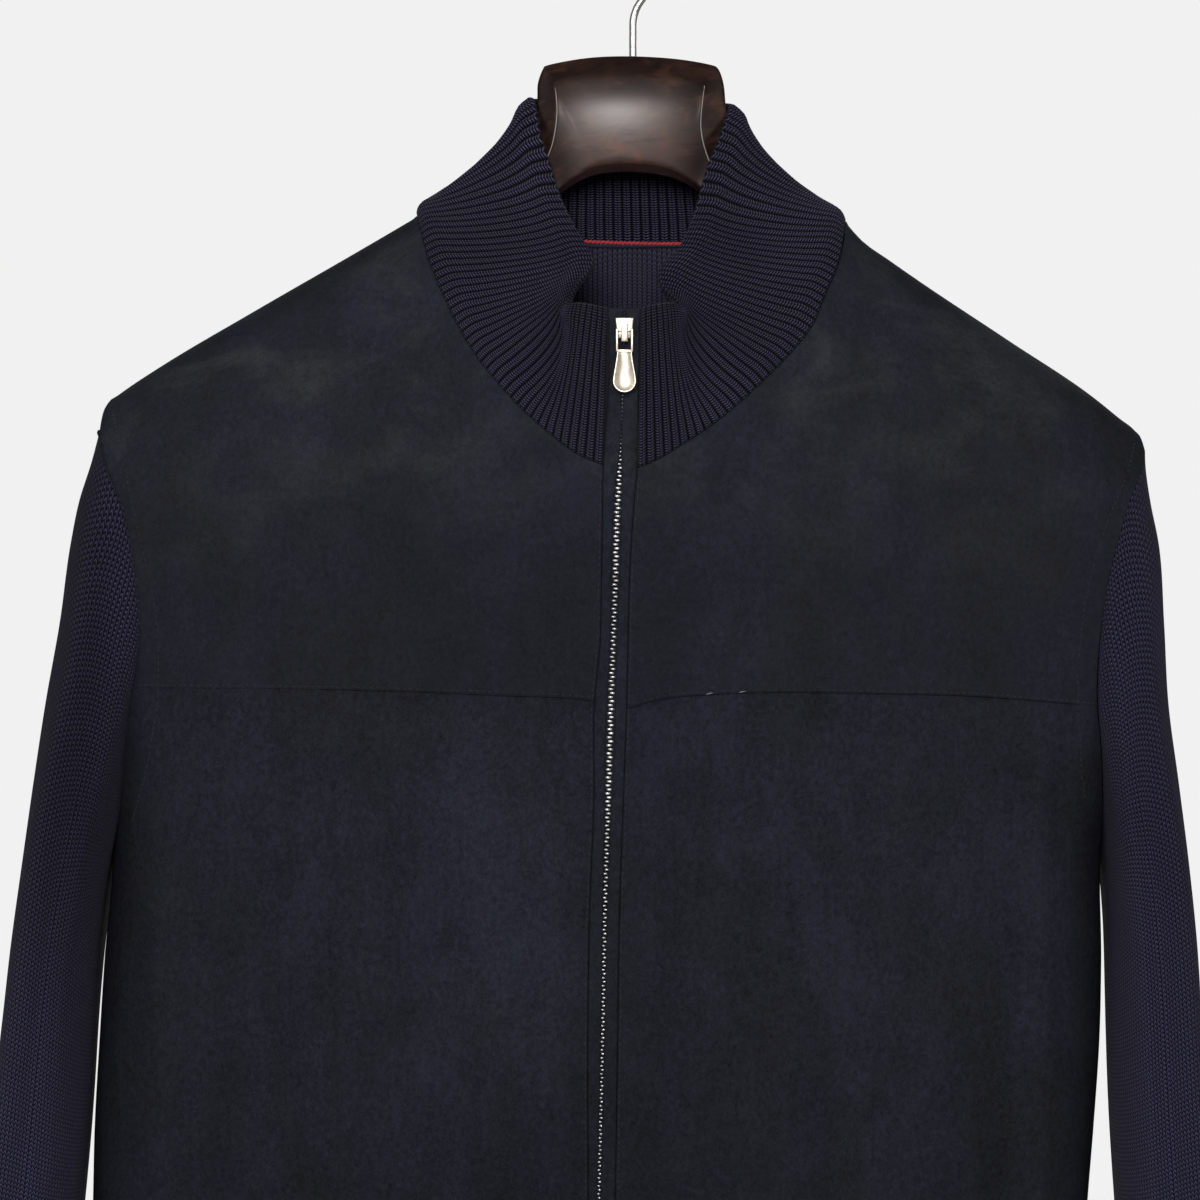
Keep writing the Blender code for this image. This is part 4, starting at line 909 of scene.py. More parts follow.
def knit_back():
    """The back, one piece of plain knit from side seam to side seam."""
    across, full_across = rimmed(
        parted((BACK_NECK_FROM, 40), (BACK_NECK_TO, 74), (1, 40)), 0.5, KNIT
    )
    low = parted((SIDE_SHARE * BACK_LOW, 70), (BACK_LOW, 22))
    high = BACK_LOW + (1 - BACK_LOW) * rolled(parted((1, 70)))
    up, full_up = rimmed(np.concatenate([low, high[1:]]), 0.62, KNIT)
    tops = []
    outward = (BACK_NECK_FROM - across) / BACK_NECK_FROM, (across - BACK_NECK_TO) / (1 - BACK_NECK_TO)
    for side, out in zip((-1, 1), outward):
        points = shoulder_seam(side, np.clip(out, 0, 1))
        places = place_of(BACK, points[:, 0], points[:, 1])
        places[:, 1] = 0
        tops.append(places)
    neck = back_neck(np.clip((across - BACK_NECK_FROM) / (BACK_NECK_TO - BACK_NECK_FROM), 0, 1))
    right_of_neck, left_of_neck = (across <= BACK_NECK_FROM)[:, None], (across >= BACK_NECK_TO)[:, None]
    top = np.where(right_of_neck, tops[0], np.where(left_of_neck, tops[1], neck))
    low_steps = (up / BACK_LOW - SIDE_SHARE) / (1 - SIDE_SHARE) * LOW_ARMHOLE
    high_at = 1 - (1 - np.clip((up - BACK_LOW) / (1 - BACK_LOW), 0, 1)) ** (1 / ROLL_CROWDING)
    high_steps = LOW_ARMHOLE + high_at * (WHOLE_ARMHOLE - LOW_ARMHOLE)
    steps = np.where(up <= BACK_LOW, np.clip(low_steps, 0, LOW_ARMHOLE), high_steps)
    on_side = np.clip(up / (SIDE_SHARE * BACK_LOW), 0, 1)
    columns = []
    for side, corner in ((-1, top[0]), (1, top[-1])):
        seam = side_places(BACK, side, BAND_TOP, UNDERARM, on_side)
        by_side = (up <= SIDE_SHARE * BACK_LOW)[:, None]
        column = np.where(by_side, seam, armhole_places(BACK, side, steps))
        column[-1] = corner
        columns.append(column)
    right_x, left_x = read(BODY, "right", BAND_TOP), read(BODY, "left", BAND_TOP)
    hem = level_row(BACK, right_x, left_x, level(BAND_TOP), across)
    hem[0], hem[-1] = columns[0][0], columns[1][0]
    places = patch(hem, top, columns[0], columns[1], up, across)
    full = np.outer(full_up, full_across)
    return body_cloth("back_knit", BACK, places, KNIT, full, FINE_KNIT, "knit", "back")


def hem_rib():
    """The rib strip from one zip edge round the back to the other."""
    runs = ((FRONT, "zip", "right", 62), (BACK, "right", "left", 124), (FRONT, "left", "zip", 62))
    up, full_up = rimmed(parted((1, 6)), HEM_HEIGHT, RIB_KNIT)
    grids, ribs = [], [np.zeros(1)]
    for face, first, last, count in runs:
        shares = parted((1, count * 6))
        rows = []
        for z in HEM + HEM_HEIGHT * up:
            x = {side: float(read(BODY, side, z)) for side in ("right", "left")}
            x["zip"] = float(centre_edge(-1 if last == "right" else 1, z))
            row = level_row(face, x[first], x[last], level(z), shares)
            for place, name in ((0, first), (-1, last)):
                if name != "zip":
                    row[place, 0] = -1 if name == "right" else 1
            rows.append(row)
        grids.append(cloth_point(face, np.array(rows))[:, 1 if grids else 0:])
        ribs.append(ribs[-1][-1] + count * shares[1:])
    surface = np.concatenate(grids, axis=1)
    ribs = np.concatenate(ribs)
    run = ribs / ribs[-1]
    full = np.outer(full_up, np.clip(np.minimum(run, 1 - run) * 700, 0, 1) ** 0.5)
    normals = -grid_normal(surface)
    normals = normals if normals[0, 0, 1] < 0 else -normals
    return cloth(
        "hem_rib", surface, normals, RIB_KNIT, full, counted(ribs, up * HEM_HEIGHT / RIB_STITCH),
        RIB, "rib_knit", "hem_band", RIB_RISE * rib_wave(ribs),
    )


def armhole_ring(side, turn):
    """Points and normals of the armhole seam round the sleeve, from the shoulder by the front."""
    steps = np.abs(2 * turn - 1) * WHOLE_ARMHOLE
    rings = []
    for face in (FRONT, BACK):
        places = armhole_places(face, side, steps)
        rings.append((cloth_point(face, places), cloth_normal(face, places)))
    on_front = (turn <= 0.5)[:, None]
    return [np.where(on_front, front, back) for front, back in zip(*rings)]


def ellipse_rings(side, outer_z, inner_z, depth, turn):
    """Level or slanting rings of the hanging sleeve."""
    name = side_name(side)
    power = 2 / SLEEVE_ROUNDNESS
    across, along_y = (
        np.sign(wave) * np.abs(wave) ** power
        for wave in (np.cos(2 * math.pi * turn), -np.sin(2 * math.pi * turn))
    )
    outer, inner = (
        np.stack([read(SLEEVE_EDGE, edge, z), np.full_like(z, SLEEVE_Y), z], axis=-1)[:, None]
        for edge, z in ((name, outer_z), (name + "_in", inner_z))
    )
    rings = (outer + inner) / 2 + across[None, :, None] * (outer - inner) / 2
    rings[..., 1] += along_y * depth[:, None]
    return rings


def sleeve_rings(side, rings, at, turn, seam):
    """Rings down a sleeve, read from its table at places between its rows."""
    index = np.arange(len(rings["outer"]), dtype=float)
    outer_z, inner_z, depth, armhole, folds = (smooth(index, rings[key], at) for key in rings)
    plain = ellipse_rings(
        side, np.array([seam[0, 2]]), np.array([seam[len(turn) // 2, 2]]),
        np.array([ARMHOLE_DEPTH]), turn,
    )[0]
    grid = ellipse_rings(side, outer_z, inner_z, depth, turn)
    grid += np.clip(armhole, 0, 1)[:, None, None] * (seam - plain)
    relief = np.zeros(len(turn))
    for centre, width, rise in zip(*SLEEVE_FOLDS.values()):
        relief += rise * np.exp(-((((turn - centre + 0.5) % 1 - 0.5) / width) ** 2))
    return grid, np.outer(folds, relief)


def sleeve(side):
    """A sleeve of plain knit with its rib cuff."""
    name = side_name(side)
    turn = parted((1, SLEEVE_POINTS))
    seam, seam_normals = armhole_ring(side, turn)
    first = (seam[0, 2], seam[SLEEVE_POINTS // 2, 2], ARMHOLE_DEPTH, 1, 0)
    whole = {
        key: np.concatenate([[start], column])
        for start, (key, column) in zip(first, SLEEVE_RINGS.items())
    }
    up, full = rimmed(parted((1, 150)), SLEEVE_LENGTH, KNIT)
    grid, relief = sleeve_rings(side, whole, up * (len(whole["outer"]) - 1), turn, seam)
    surface = grid + grid_normal(grid, wraps=True) * side * relief[..., None]
    normals = grid_normal(surface, wraps=True) * side
    normals[0] = seam_normals
    down = np.linalg.norm(np.diff(surface, axis=0), axis=-1).mean(axis=1).cumsum()
    counts = counted(turn * SLEEVE_WALES, np.concatenate([[0], down]) / COURSE)
    arm = cloth(
        f"sleeve_{name}_knit", surface, normals, KNIT, full[:, None], counts,
        PLAIN_KNIT, "knit", f"sleeve_{name}",
    )
    turn = parted((1, CUFF_RIBS * 8))
    seam, _ = armhole_ring(side, turn)
    up, full = rimmed(parted((1, 16)), CUFF_LENGTH, RIB_KNIT)
    grid, _ = sleeve_rings(side, CUFF_RINGS, up * 3, turn, seam)
    normals = grid_normal(grid, wraps=True) * side
    cuff = cloth(
        f"cuff_{name}_rib", grid, normals, RIB_KNIT, full[:, None],
        counted(turn * CUFF_RIBS, up * CUFF_LENGTH / RIB_STITCH),
        RIB, "rib_knit", f"cuff_{name}", RIB_RISE * rib_wave(turn * CUFF_RIBS),
    )
    return arm, cuff


def seam_run(points, values, at):
    """Values along the seam's steps, read at shares of its length."""
    run = np.concatenate([[0], np.cumsum(np.linalg.norm(np.diff(points, axis=0), axis=1))])
    return np.stack([np.interp(at, run / run[-1], values[:, i]) for i in range(3)], axis=1)


def collar_columns():
    """For each column: the seam's point and normal, the top edge's point, and two weights."""
    shares = parted((1, 200))
    runs = []
    for side in (-1, 1):
        neck = neck_seam(side, shares)
        places = place_of(FRONT, neck[:, 0], neck[:, 1])
        places[-1][1] = 0
        runs.append(np.stack([cloth_point(FRONT, places), cloth_normal(FRONT, places)]))
    places = back_neck(shares)
    back = np.stack([cloth_point(BACK, places), cloth_normal(BACK, places)])
    seams = runs[0], back, runs[1][:, ::-1]
    lengths = [np.linalg.norm(np.diff(points, axis=0), axis=1).sum() for points, _ in seams]
    columns = RIB_POINTS * RIB_COUNT
    counts = [round(columns * length / sum(lengths)) for length in lengths]
    counts[1] = columns - counts[0] - counts[2]
    base, base_normal, top, pinch, sides, out = [], [], [], [], [], []
    for part, tops in enumerate((COLLAR_RIGHT, COLLAR_BACK, COLLAR_LEFT)):
        points, outward = seams[part]
        at = parted((1, counts[part]))[1 if part else 0:]
        along = 1 - at if part == 2 else at
        base.append(seam_run(points, points, at))
        base_normal.append(unit(seam_run(points, outward, at)))
        top.append(np.stack([smooth(tops["along"], tops[axis], along) for axis in "xyz"], axis=1))
        if part == 1:
            pinch.append(np.zeros(len(at)))
            sides.append(1 - BACK_COLLAR_STRAIGHTER * np.sin(at * math.pi))
            left_out = SIDE_OUT[1] * ease(1 - (1 - at) / BACK_OUT_OVER)
            out.append(left_out - SIDE_OUT[0] * ease(1 - at / BACK_OUT_OVER))
        else:
            pinch.append(np.exp(-(((along - PINCH_ALONG) / PINCH_SPREAD) ** 2)) * (1 - part))
            sides.append(ease((along - COLLAR_SIDE_FROM) / COLLAR_SIDE_OVER))
            out.append((part - 1) * SIDE_OUT[part // 2] * ease(1 - (1 - along) / SIDE_OUT_OVER))
    return [np.concatenate(column) for column in (base, base_normal, top, pinch, sides, out)]


def collar():
    """The standing collar of rib knit, from zip to zip."""
    base, base_normal, top, pinch, sides, out = collar_columns()
    up, full_up = rimmed(parted((1, 32)), COLLAR_HEIGHT, RIB_KNIT)
    straight = base[None] + (top - base)[None] * up[:, None, None]
    flat_normal = -np.mean(grid_normal(straight), axis=0, keepdims=True)
    bulge = np.outer(smooth(COLLAR_BULGE["up"], COLLAR_BULGE["side"], up), sides)
    bulge += np.outer(smooth(COLLAR_BULGE["up"], COLLAR_BULGE["front"], up), 1 - sides)
    plain = straight + unit(flat_normal) * bulge[..., None]
    arch = np.sin(up * math.pi)
    plain[..., 0] += np.outer(arch, pinch) * PINCH_IN + np.outer(np.sin(up**0.6 * math.pi), out)
    plain[..., 1] += np.outer(arch, np.abs(pinch)) * PINCH_BACK
    curl = ease((up - CURL_FROM) / (1 - CURL_FROM)) ** 2 * CURL_IN
    plain -= unit(flat_normal) * curl[:, None, None]
    normals = -grid_normal(plain)
    settle = ease(up / 0.12)[:, None, None]
    normals = unit(base_normal[None] * (1 - settle) + normals * settle)
    ribs = parted((1, plain.shape[1] - 1)) * RIB_COUNT
    run = ribs / RIB_COUNT
    ends = np.clip(np.minimum(run, 1 - run) / 0.0025, 0, 1)
    roll = 1 + ROLL_SWELL * np.exp(-(((up - ROLL_MIDDLE) / ROLL_SPREAD) ** 2))
    full = np.outer(full_up * roll, np.sqrt(1 - (1 - ends) ** 2))
    return cloth(
        "collar_rib", plain, normals, RIB_KNIT, full, counted(ribs, up * COLLAR_HEIGHT / RIB_STITCH),
        RIB, "rib_knit", "collar", COLLAR_RISE * rib_wave(ribs),
    )


def front_line(z):
    """The cloth's y at the middle of the zip, up the fronts and the collar."""
    middle = read(CENTRE, "middle", z)
    neck_z = NECK_RIGHT["z"][-1]
    below = cloth_point(FRONT, place_of(FRONT, middle, np.minimum(z, neck_z)))[:, 1]
    rise = ease((z - neck_z) / (COLLAR_TOP - neck_z))
    return below + (COLLAR_RIGHT["y"][0] - below) * rise


def zip_strips():
    """The suede strips that close over the zip, and the woven tapes behind them."""
    up, full_up = rimmed(parted((1, 220)), COLLAR_TOP - HEM, STRIP)
    z = HEM + (COLLAR_TOP - HEM) * up
    y = front_line(z)
    middle = read(CENTRE, "middle", z)
    gap = read(ZIP_GAP, "half", z)
    pieces = []
    for side in (-1, 1):
        name = side_name(side)
        across, full = rimmed(parted((1, 8)), STRIP_WIDTH, STRIP)
        x = (middle + side * gap)[:, None] * (1 - across) + centre_edge(side, z)[:, None] * across
        strip = grid_of(x, y + STRIP_RECESS, z)
        strip[..., 1] += STRIP_SINK * (1 - ease(across / 0.5))
        forward = np.broadcast_to((0.0, -1.0, 0.0), strip.shape)
        pieces.append(cloth(
            f"zip_strip_{name}", strip, forward, STRIP, np.outer(full_up, full),
            counted(across * 3, z / COURSE), SUEDE_LOWER, "suede_upper", f"placket_{name}",
        ))
        across, full = rimmed(parted((1, 6)), TAPE_WIDTH, TAPE)
        x = (middle + side * 0.0007)[:, None] + side * TAPE_WIDTH * across[None]
        tape = grid_of(x, y + TAPE_DEPTH, z)
        forward = np.broadcast_to((0.0, -1.0, 0.0), tape.shape)
        pieces.append(cloth(
            f"zip_tape_{name}_woven", tape, forward, TAPE, np.outer(full_up, full),
            counted(across * TAPE_WIDTH / TAPE_THREAD, z / TAPE_THREAD),
            WOVEN_TAPE, "zip_tape", f"zip_tape_{name}",
        ))
    return pieces


def box_at(bm, centre, size, turn=0.0):
    """A block in the mesh, turned about the Y axis. Returns its points."""
    place = Matrix.Translation(centre) @ Matrix.Rotation(turn, 4, "Y") @ Matrix.Diagonal((*size, 1))
    return bmesh.ops.create_cube(bm, size=1, matrix=place)["verts"]


def bevelled(bm, width, segments=2, edges=None):
    bmesh.ops.bevel(
        bm, geom=list(bm.edges) if edges is None else edges, offset=width, affect="EDGES",
        segments=segments, profile=0.5, material=-1,
    )


def made(bm, name, material, **settings):
    """The mesh as a finished piece."""
    bmesh.ops.recalc_face_normals(bm, faces=bm.faces)
    mesh = bpy.data.meshes.new(name)
    bm.to_mesh(mesh)
    bm.free()
    return finished(name, mesh, material, **settings)


def zip_teeth():
    """Two rows of metal teeth that mesh in the middle of the zip."""
    bm = bmesh.new()
    z = np.arange(HEM + 0.014, HINGE_Z - 0.008, TOOTH_PITCH / 2)
    x = read(CENTRE, "middle", z)
    y = front_line(z) + TAPE_DEPTH + TAPE / 2
    lean = np.gradient(x, z)
    for i in range(len(z)):
        side = -1 if i % 2 else 1
        centre = (x[i] + side * (TOOTH_REACH / 2 - TOOTH_OVERLAP), y[i], z[i])
        box_at(bm, centre, (TOOTH_REACH, TOOTH_DEPTH, TOOTH_HEIGHT), math.atan(lean[i]))
    bevelled(bm, 0.0003, 1)
    made(bm, "zip_teeth", TOOTH_METAL, slot="nickel")


def stitches(
    name, points, normals, material, length=0.0022, gap=0.0009, width=0.00045, slant=0.0, **settings
):
    """A row of sewn stitches along a line on the cloth, as one mesh of small rounded bars."""
    bm = bmesh.new()
    for line, outward in zip(points, normals):
        run = np.concatenate([[0], np.cumsum(np.linalg.norm(np.diff(line, axis=0), axis=1))])
        count = max(1, int(run[-1] / (length + gap)))
        at = (np.arange(count) + 0.5) / count * run[-1]
        centre = np.stack([np.interp(at, run, line[:, i]) for i in range(3)], axis=1)
        along = np.stack([np.interp(at + length / 2, run, line[:, i]) for i in range(3)], axis=1)
        facing = np.stack([np.interp(at, run, outward[:, i]) for i in range(3)], axis=1)
        for place, end, out in zip(centre, along, facing):
            up = Vector(out).normalized()
            forward = Matrix.Rotation(slant, 3, up) @ Vector(end - place).normalized()
            across = up.cross(forward).normalized()
            turn = Matrix((forward, across, across.cross(forward) * -1)).transposed().to_4x4()
            size = Matrix.Diagonal((length / 2, width / 2, width / 2, 1))
            matrix = Matrix.Translation(Vector(place) + up * width * 0.15) @ turn @ size
            bmesh.ops.create_icosphere(bm, subdivisions=1, radius=1, matrix=matrix)
    return made(bm, name, material, **settings)


def on_front(x, z, lift=0.0):
    """Points and normals of the front sheet where a front view shows x, z."""
    places = place_of(FRONT, x, z)
    normals = cloth_normal(FRONT, places)
    return cloth_point(FRONT, places) + normals * lift, normals


def topstitching():
    """The sewn lines beside the zip, above the chest seam and inside the armholes."""
    lines = []
    for side, stitched in ((-1, ARMHOLE_STITCH_RIGHT), (1, ARMHOLE_STITCH_LEFT)):
        z = np.linspace(BAND_TOP + 0.003, -0.2960, 240)
        lines.append(on_front(centre_edge(side, z) + side * 0.0011, z))
        x_from = float(centre_edge(side, CHEST_LEVEL)) + side * 0.001
        x = np.linspace(x_from, ARMHOLE_AT_CHEST[side] - side * 0.001, 160)
        lines.append(on_front(x, chest_height(x) + 0.0014))
        lines.append(on_front(*spread(front_view(stitched), parted((1, 140))).T))
    points, normals = zip(*lines)
    stitches("topstitching", points, normals, THREAD)


def inside_neck(lift, drop):
    """A line along the inside of the back neck seam, with the normals there."""
    places = back_neck(np.linspace(0.2, 0.8, 60))
    normals = -cloth_normal(BACK, places)
    return cloth_point(BACK, places) + normals * (KNIT + lift) - np.array([0, 0, drop]), normals


def neck_seam_roll():
    """The overcast seam that rolls along the inside of the neck, below the red chain."""
    line, normals = inside_neck(0.0006, 0.0016)
    stitches(
        "neck_seam_roll", [line], [normals], SEAM_THREAD,
        length=0.0030, gap=-0.0016, width=0.0022, slant=0.9,
    )


def red_chain():
    """The red chain stitch inside the neck, along the foot of the back collar."""
    line, normals = inside_neck(0.0014, -0.0012)
    line[:, 2] -= np.linspace(0, CHAIN_FALL, len(line))
    stitches(
        "red_chain_stitch", [line], [normals], RED_THREAD,
        length=0.0034, gap=-0.0013, width=0.0017, slant=0.50,
    )


def loose_threads():
    """Pale ends of thread that show at the left chest seam."""
    lines = []
    for x in (0.0335, 0.0490):
        at = np.linspace(x, x + 0.0044, 4)
        lines.append(on_front(at, chest_height(at) + np.linspace(0.0002, 0.0010, 4)))
    points, normals = zip(*lines)
    stitches("loose_threads", points, normals, PALE_THREAD, length=0.0040, width=0.0005)


def slider_face():
    return float(front_line(np.array([HINGE_Z]))[0]) + STRIP_RECESS - 0.0003 - 0.0042


def zip_slider():
    """The slider's plate and its bridge, over the closed teeth."""
    face = slider_face()
    middle = (SLIDER_TOP + SLIDER_LOW) / 2
    bm = bmesh.new()
    for depth, wide in ((PLATE / 2, 1.0), (PLATE * 2.5, 0.96)):
        size = (SLIDER_WIDTH * wide, PLATE, SLIDER_TOP - SLIDER_LOW)
        for vert in box_at(bm, (HINGE_X, face + depth, middle), size):
            if vert.co.z < middle:
                vert.co.x = HINGE_X + (vert.co.x - HINGE_X) * 0.78
    box_at(bm, (HINGE_X, face + 0.0021, SLIDER_TOP - 0.0022), (0.0022, 0.0022, 0.0040))
    for side in (-1, 1):
        place = (HINGE_X + side * 0.0037, face + 0.0017, middle - 0.0006)
        box_at(bm, place, (0.0008, 0.0020, 0.0076), -side * 0.10)
    bevelled(bm, 0.0005, 3)
    made(bm, "slider_plate", NICKEL, slot="nickel", replaces=["zip_slider"])
    bm = bmesh.new()
    width, wall, foot = 0.0032, 0.0009, 0.0040
    low, high = HINGE_Z - 0.0056, HINGE_Z + 0.0030
    front = face - BRIDGE_ROOM - wall / 2
    box_at(bm, (HINGE_X, front, (low + high) / 2), (width, wall, high - low))
    for z, height in ((high - 0.0008, 0.0016), (low + foot / 2, foot)):
        box_at(bm, (HINGE_X, face - BRIDGE_ROOM / 2, z), (width, BRIDGE_ROOM + wall, height))
    bevelled(bm, 0.0004, 3)
    made(bm, "slider_bridge", NICKEL, slot="nickel")


def pull_tab():
    """The drop-shaped pull tab: a frame on the bridge, and a blade with a raised rim."""
    hinge_y = slider_face() - BRIDGE_ROOM / 2
    angles = np.radians(np.linspace(-2, -178, 32))
    drop = [(0.0055 * math.cos(a), 0.0055 * math.sin(a) - 0.0239) for a in angles]
    waist = [
        (0.0035, -0.0098), (0.0036, -0.0114), (0.0039, -0.0140), (0.0046, -0.0182), (0.0052, -0.0216),
    ]
    outline = waist + drop + [(-x, z) for x, z in waist[::-1]]
    bm = bmesh.new()
    face = bm.faces.new([bm.verts.new((HINGE_X + x, hinge_y, HINGE_Z + z)) for x, z in outline])
    raised = bmesh.ops.extrude_face_region(bm, geom=[face])["geom"]
    front = [item for item in raised if isinstance(item, bmesh.types.BMVert)]
    rear = [vert for vert in bm.verts if vert not in front]
    bmesh.ops.translate(bm, verts=front, vec=(0, -TAB_HALF, 0))
    bmesh.ops.translate(bm, verts=rear, vec=(0, TAB_HALF, 0))
    bmesh.ops.recalc_face_normals(bm, faces=bm.faces)
    for thickness, depth in ((0.0007, 0.0), (0.0003, -0.00022)):
        blades = [f for f in bm.faces if len(f.verts) > 8]
        bmesh.ops.inset_region(bm, faces=blades, thickness=thickness, depth=depth)
    rims = [e for e in bm.edges if e.calc_face_angle(0) > 0.8]
    bevelled(bm, 0.00022, edges=rims)
    frame_bm = bmesh.new()
    for side in (-1, 1):
        place = (HINGE_X + side * (0.0041 - TAB_HALF), hinge_y, HINGE_Z - 0.0048)
        box_at(frame_bm, place, (0.0012, 0.0013, 0.0110))
    for z, height in ((-0.0001, 0.0013), (-0.0098, 0.0014)):
        box_at(frame_bm, (HINGE_X, hinge_y, HINGE_Z + z), (0.0076, 0.0012, height))
    bevelled(frame_bm, 0.00035, 3)
    made(frame_bm, "pull_tab_frame", NICKEL, body="pull_tab", slot="nickel")
    made(bm, "pull_tab_blade", NICKEL, body="pull_tab", slot="nickel", replaces=["pull_tab"])


def zip_box():
    """The block that holds the zip's lower ends together at the hem."""
    low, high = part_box("zip_box")
    bm = bmesh.new()
    box_at(bm, (low + high) / 2, high - low)
    bevelled(bm, 0.0005, 3)
    made(bm, "zip_end_box", NICKEL, slot="nickel", replaces=["zip_box"])


def domed(ring):
    """A ring of the wood with more points down its front and back, which are domed."""
    front = [ring[13] + (ring[0] - ring[13]) * share for share in (0.25, 0.5, 0.75)]
    rear = [ring[8] + (ring[9] - ring[8]) * share for share in (0.25, 0.5, 0.75)]
    ring = np.array([*ring[:9], *rear, *ring[9:], *front])
    across, up = ring[:, 0] - DOME[0], ring[:, 2] - DOME[1]
    away = np.hypot(across / 0.040, up / np.where(up > 0, 0.020, 0.034))
    near = 1 - ease((np.abs(across) - 0.045) / 0.030)
    fall = np.where(away < 1, away**2, np.minimum(2 * away - 1, 1.7))
    ring[:, 1] *= 1 - DOME_FALL * near * fall
    return ring


def hanger_wood():
    """The hanger's shaped wood: a smooth loft through its neck, with the arms' own rings."""
    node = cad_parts["hanger_wood"].data
    points = np.array([vert.co for vert in node.vertices]).round(6)
    points = np.unique(points, axis=0)
    rings = []
    for x in np.unique(points[:, 0].round(5)):
        ring = points[np.abs(points[:, 0] - x) < 2e-5]
        if len(ring) == RING_POINTS:
            turn = np.arctan2(ring[:, 2] - ring[:, 2].mean(), ring[:, 1] - ring[:, 1].mean())
            ring = ring[np.argsort(-turn)]
            rings.append(np.roll(ring, -int(np.argmin(ring[:, 1])), axis=0))
    right = [ring for ring in rings if ring[0, 0] < NECK_BLOCK["top_x"][0] - 0.01]
    left = [ring for ring in rings if ring[0, 0] > NECK_BLOCK["top_x"][-1] + 0.01]
    stations = np.arange(len(NECK_BLOCK["top_x"]), dtype=float)
    block = []
    for at in np.linspace(0, stations[-1], NECK_STATIONS):
        row = [float(smooth(stations, column, at)) for column in NECK_BLOCK.values()]
        top, ridge, low = (np.array([row[i], 0, row[i + 1]]) for i in (0, 2, 4))
        deep = np.array([0, row[6], 0])
        over, under = (-1.0, -0.8, -0.6, -0.3, 0.0, 0.3, 0.6, 0.8, 1.0), (0.96, 0.6, 0.0, -0.6, -0.96)
        ring = [top + (ridge - top) * max(0, (abs(t) - 0.6) / 0.4) + t * deep for t in over]
        ring += [low + (ridge - low) * 0.10 * abs(t) + t * deep for t in under]
        block.append(np.array(ring))
    rings = [domed(ring) for ring in right + block + left]
    around = len(rings[0])
    bm = bmesh.new()
    sharp = bm.edges.layers.float.new("crease_edge")
    painted_glint = bm.verts.layers.float.new("ridge_glint")
    rows = [[bm.verts.new(point) for point in ring] for ring in rings]
    # Mark the front ridge points that carry the painted glints.
    for first, last in GLINTS:
        for row in rows[len(right) + first:len(right) + last]:
            row[0][painted_glint] = 1.0
    for first, second in zip(rows, rows[1:]):
        for i in range(around):
            bm.faces.new((first[i - 1], first[i], second[i], second[i - 1]))
            if i in RING_CREASES:
                bm.edges.get((first[i], second[i]))[sharp] = RING_CREASES[i]
    for ring in (rows[0], rows[-1]):
        bm.faces.new(ring)
    wood = made(bm, "hanger_wood_shaped", DARK_WOOD, slot="dark_wood", replaces=["hanger_wood"])
    smoother = wood.modifiers.new("smoother", "SUBSURF")
    smoother.levels = smoother.render_levels = 2


def hanger_hook():
    """The wire hook, with its narrowed tip."""
    arc = np.radians(np.linspace(-38, 205, 60))
    turn = np.stack([BEND * np.cos(arc), 0 * arc, WIRE - BEND + BEND * np.sin(arc)], axis=1)
    stem = np.stack([HOOK_STEM["x"], 0 * HOOK_STEM["x"], HOOK_STEM["z"]], axis=1)
    line = np.concatenate([spread(stem, parted((1, 30)))[:-1], turn])
    curve = bpy.data.curves.new("hook_wire", "CURVE")
    curve.dimensions = "3D"
    spline = curve.splines.new("POLY")
    spline.points.add(len(line) - 1)
    for point, place in zip(spline.points, line):
        point.co = (*place, 1)
    for i, share in enumerate((1, 0.97, 0.85)):
        spline.points[i - 3].radius = share
    curve.bevel_depth = WIRE
    curve.bevel_resolution = 6
    curve.use_fill_caps = True
    hook = bpy.data.objects.new("hook_wire", curve)
    bpy.context.scene.collection.objects.link(hook)
    curve.materials.append(STEEL)
    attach(hook, "cardigan")
    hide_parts("hanger_hook")


class Value:
    """A socket in a material's nodes, so that shader maths reads as Python."""

    def __init__(self, finish, socket):
        self.finish, self.socket = finish, socket

    def maths(self, operation, *values):
        node = self.finish.node("Math", {"operation": operation}, dict(enumerate(values)))
        return node.out(0)

    def __add__(self, other):
        return self.maths("ADD", self, other)

    def __mul__(self, other):
        return self.maths("MULTIPLY", self, other)

    def __sub__(self, other):
        return self.maths("SUBTRACT", self, other)

    def __rsub__(self, other):
        return self.maths("SUBTRACT", other, self)

    def __pow__(self, other):
        return self.maths("POWER", self, other)

    __radd__, __rmul__ = __add__, __mul__

    def fraction(self):
        return self.maths("FRACT", self)

    def size(self):
        return self.maths("ABSOLUTE", self)

    def cosine(self):
        return self.maths("COSINE", self)

    def between(self, low, high):
        """0 below low, 1 above high, and smooth between them."""
        values = {"Value": self, "From Min": low, "From Max": high}
        node = self.finish.node("MapRange", {"interpolation_type": "SMOOTHSTEP"}, values)
        return node.out("Result")


class Node:
    def __init__(self, finish, node):
        self.finish, self.node = finish, node

    def out(self, name):
        return Value(self.finish, self.node.outputs[name])


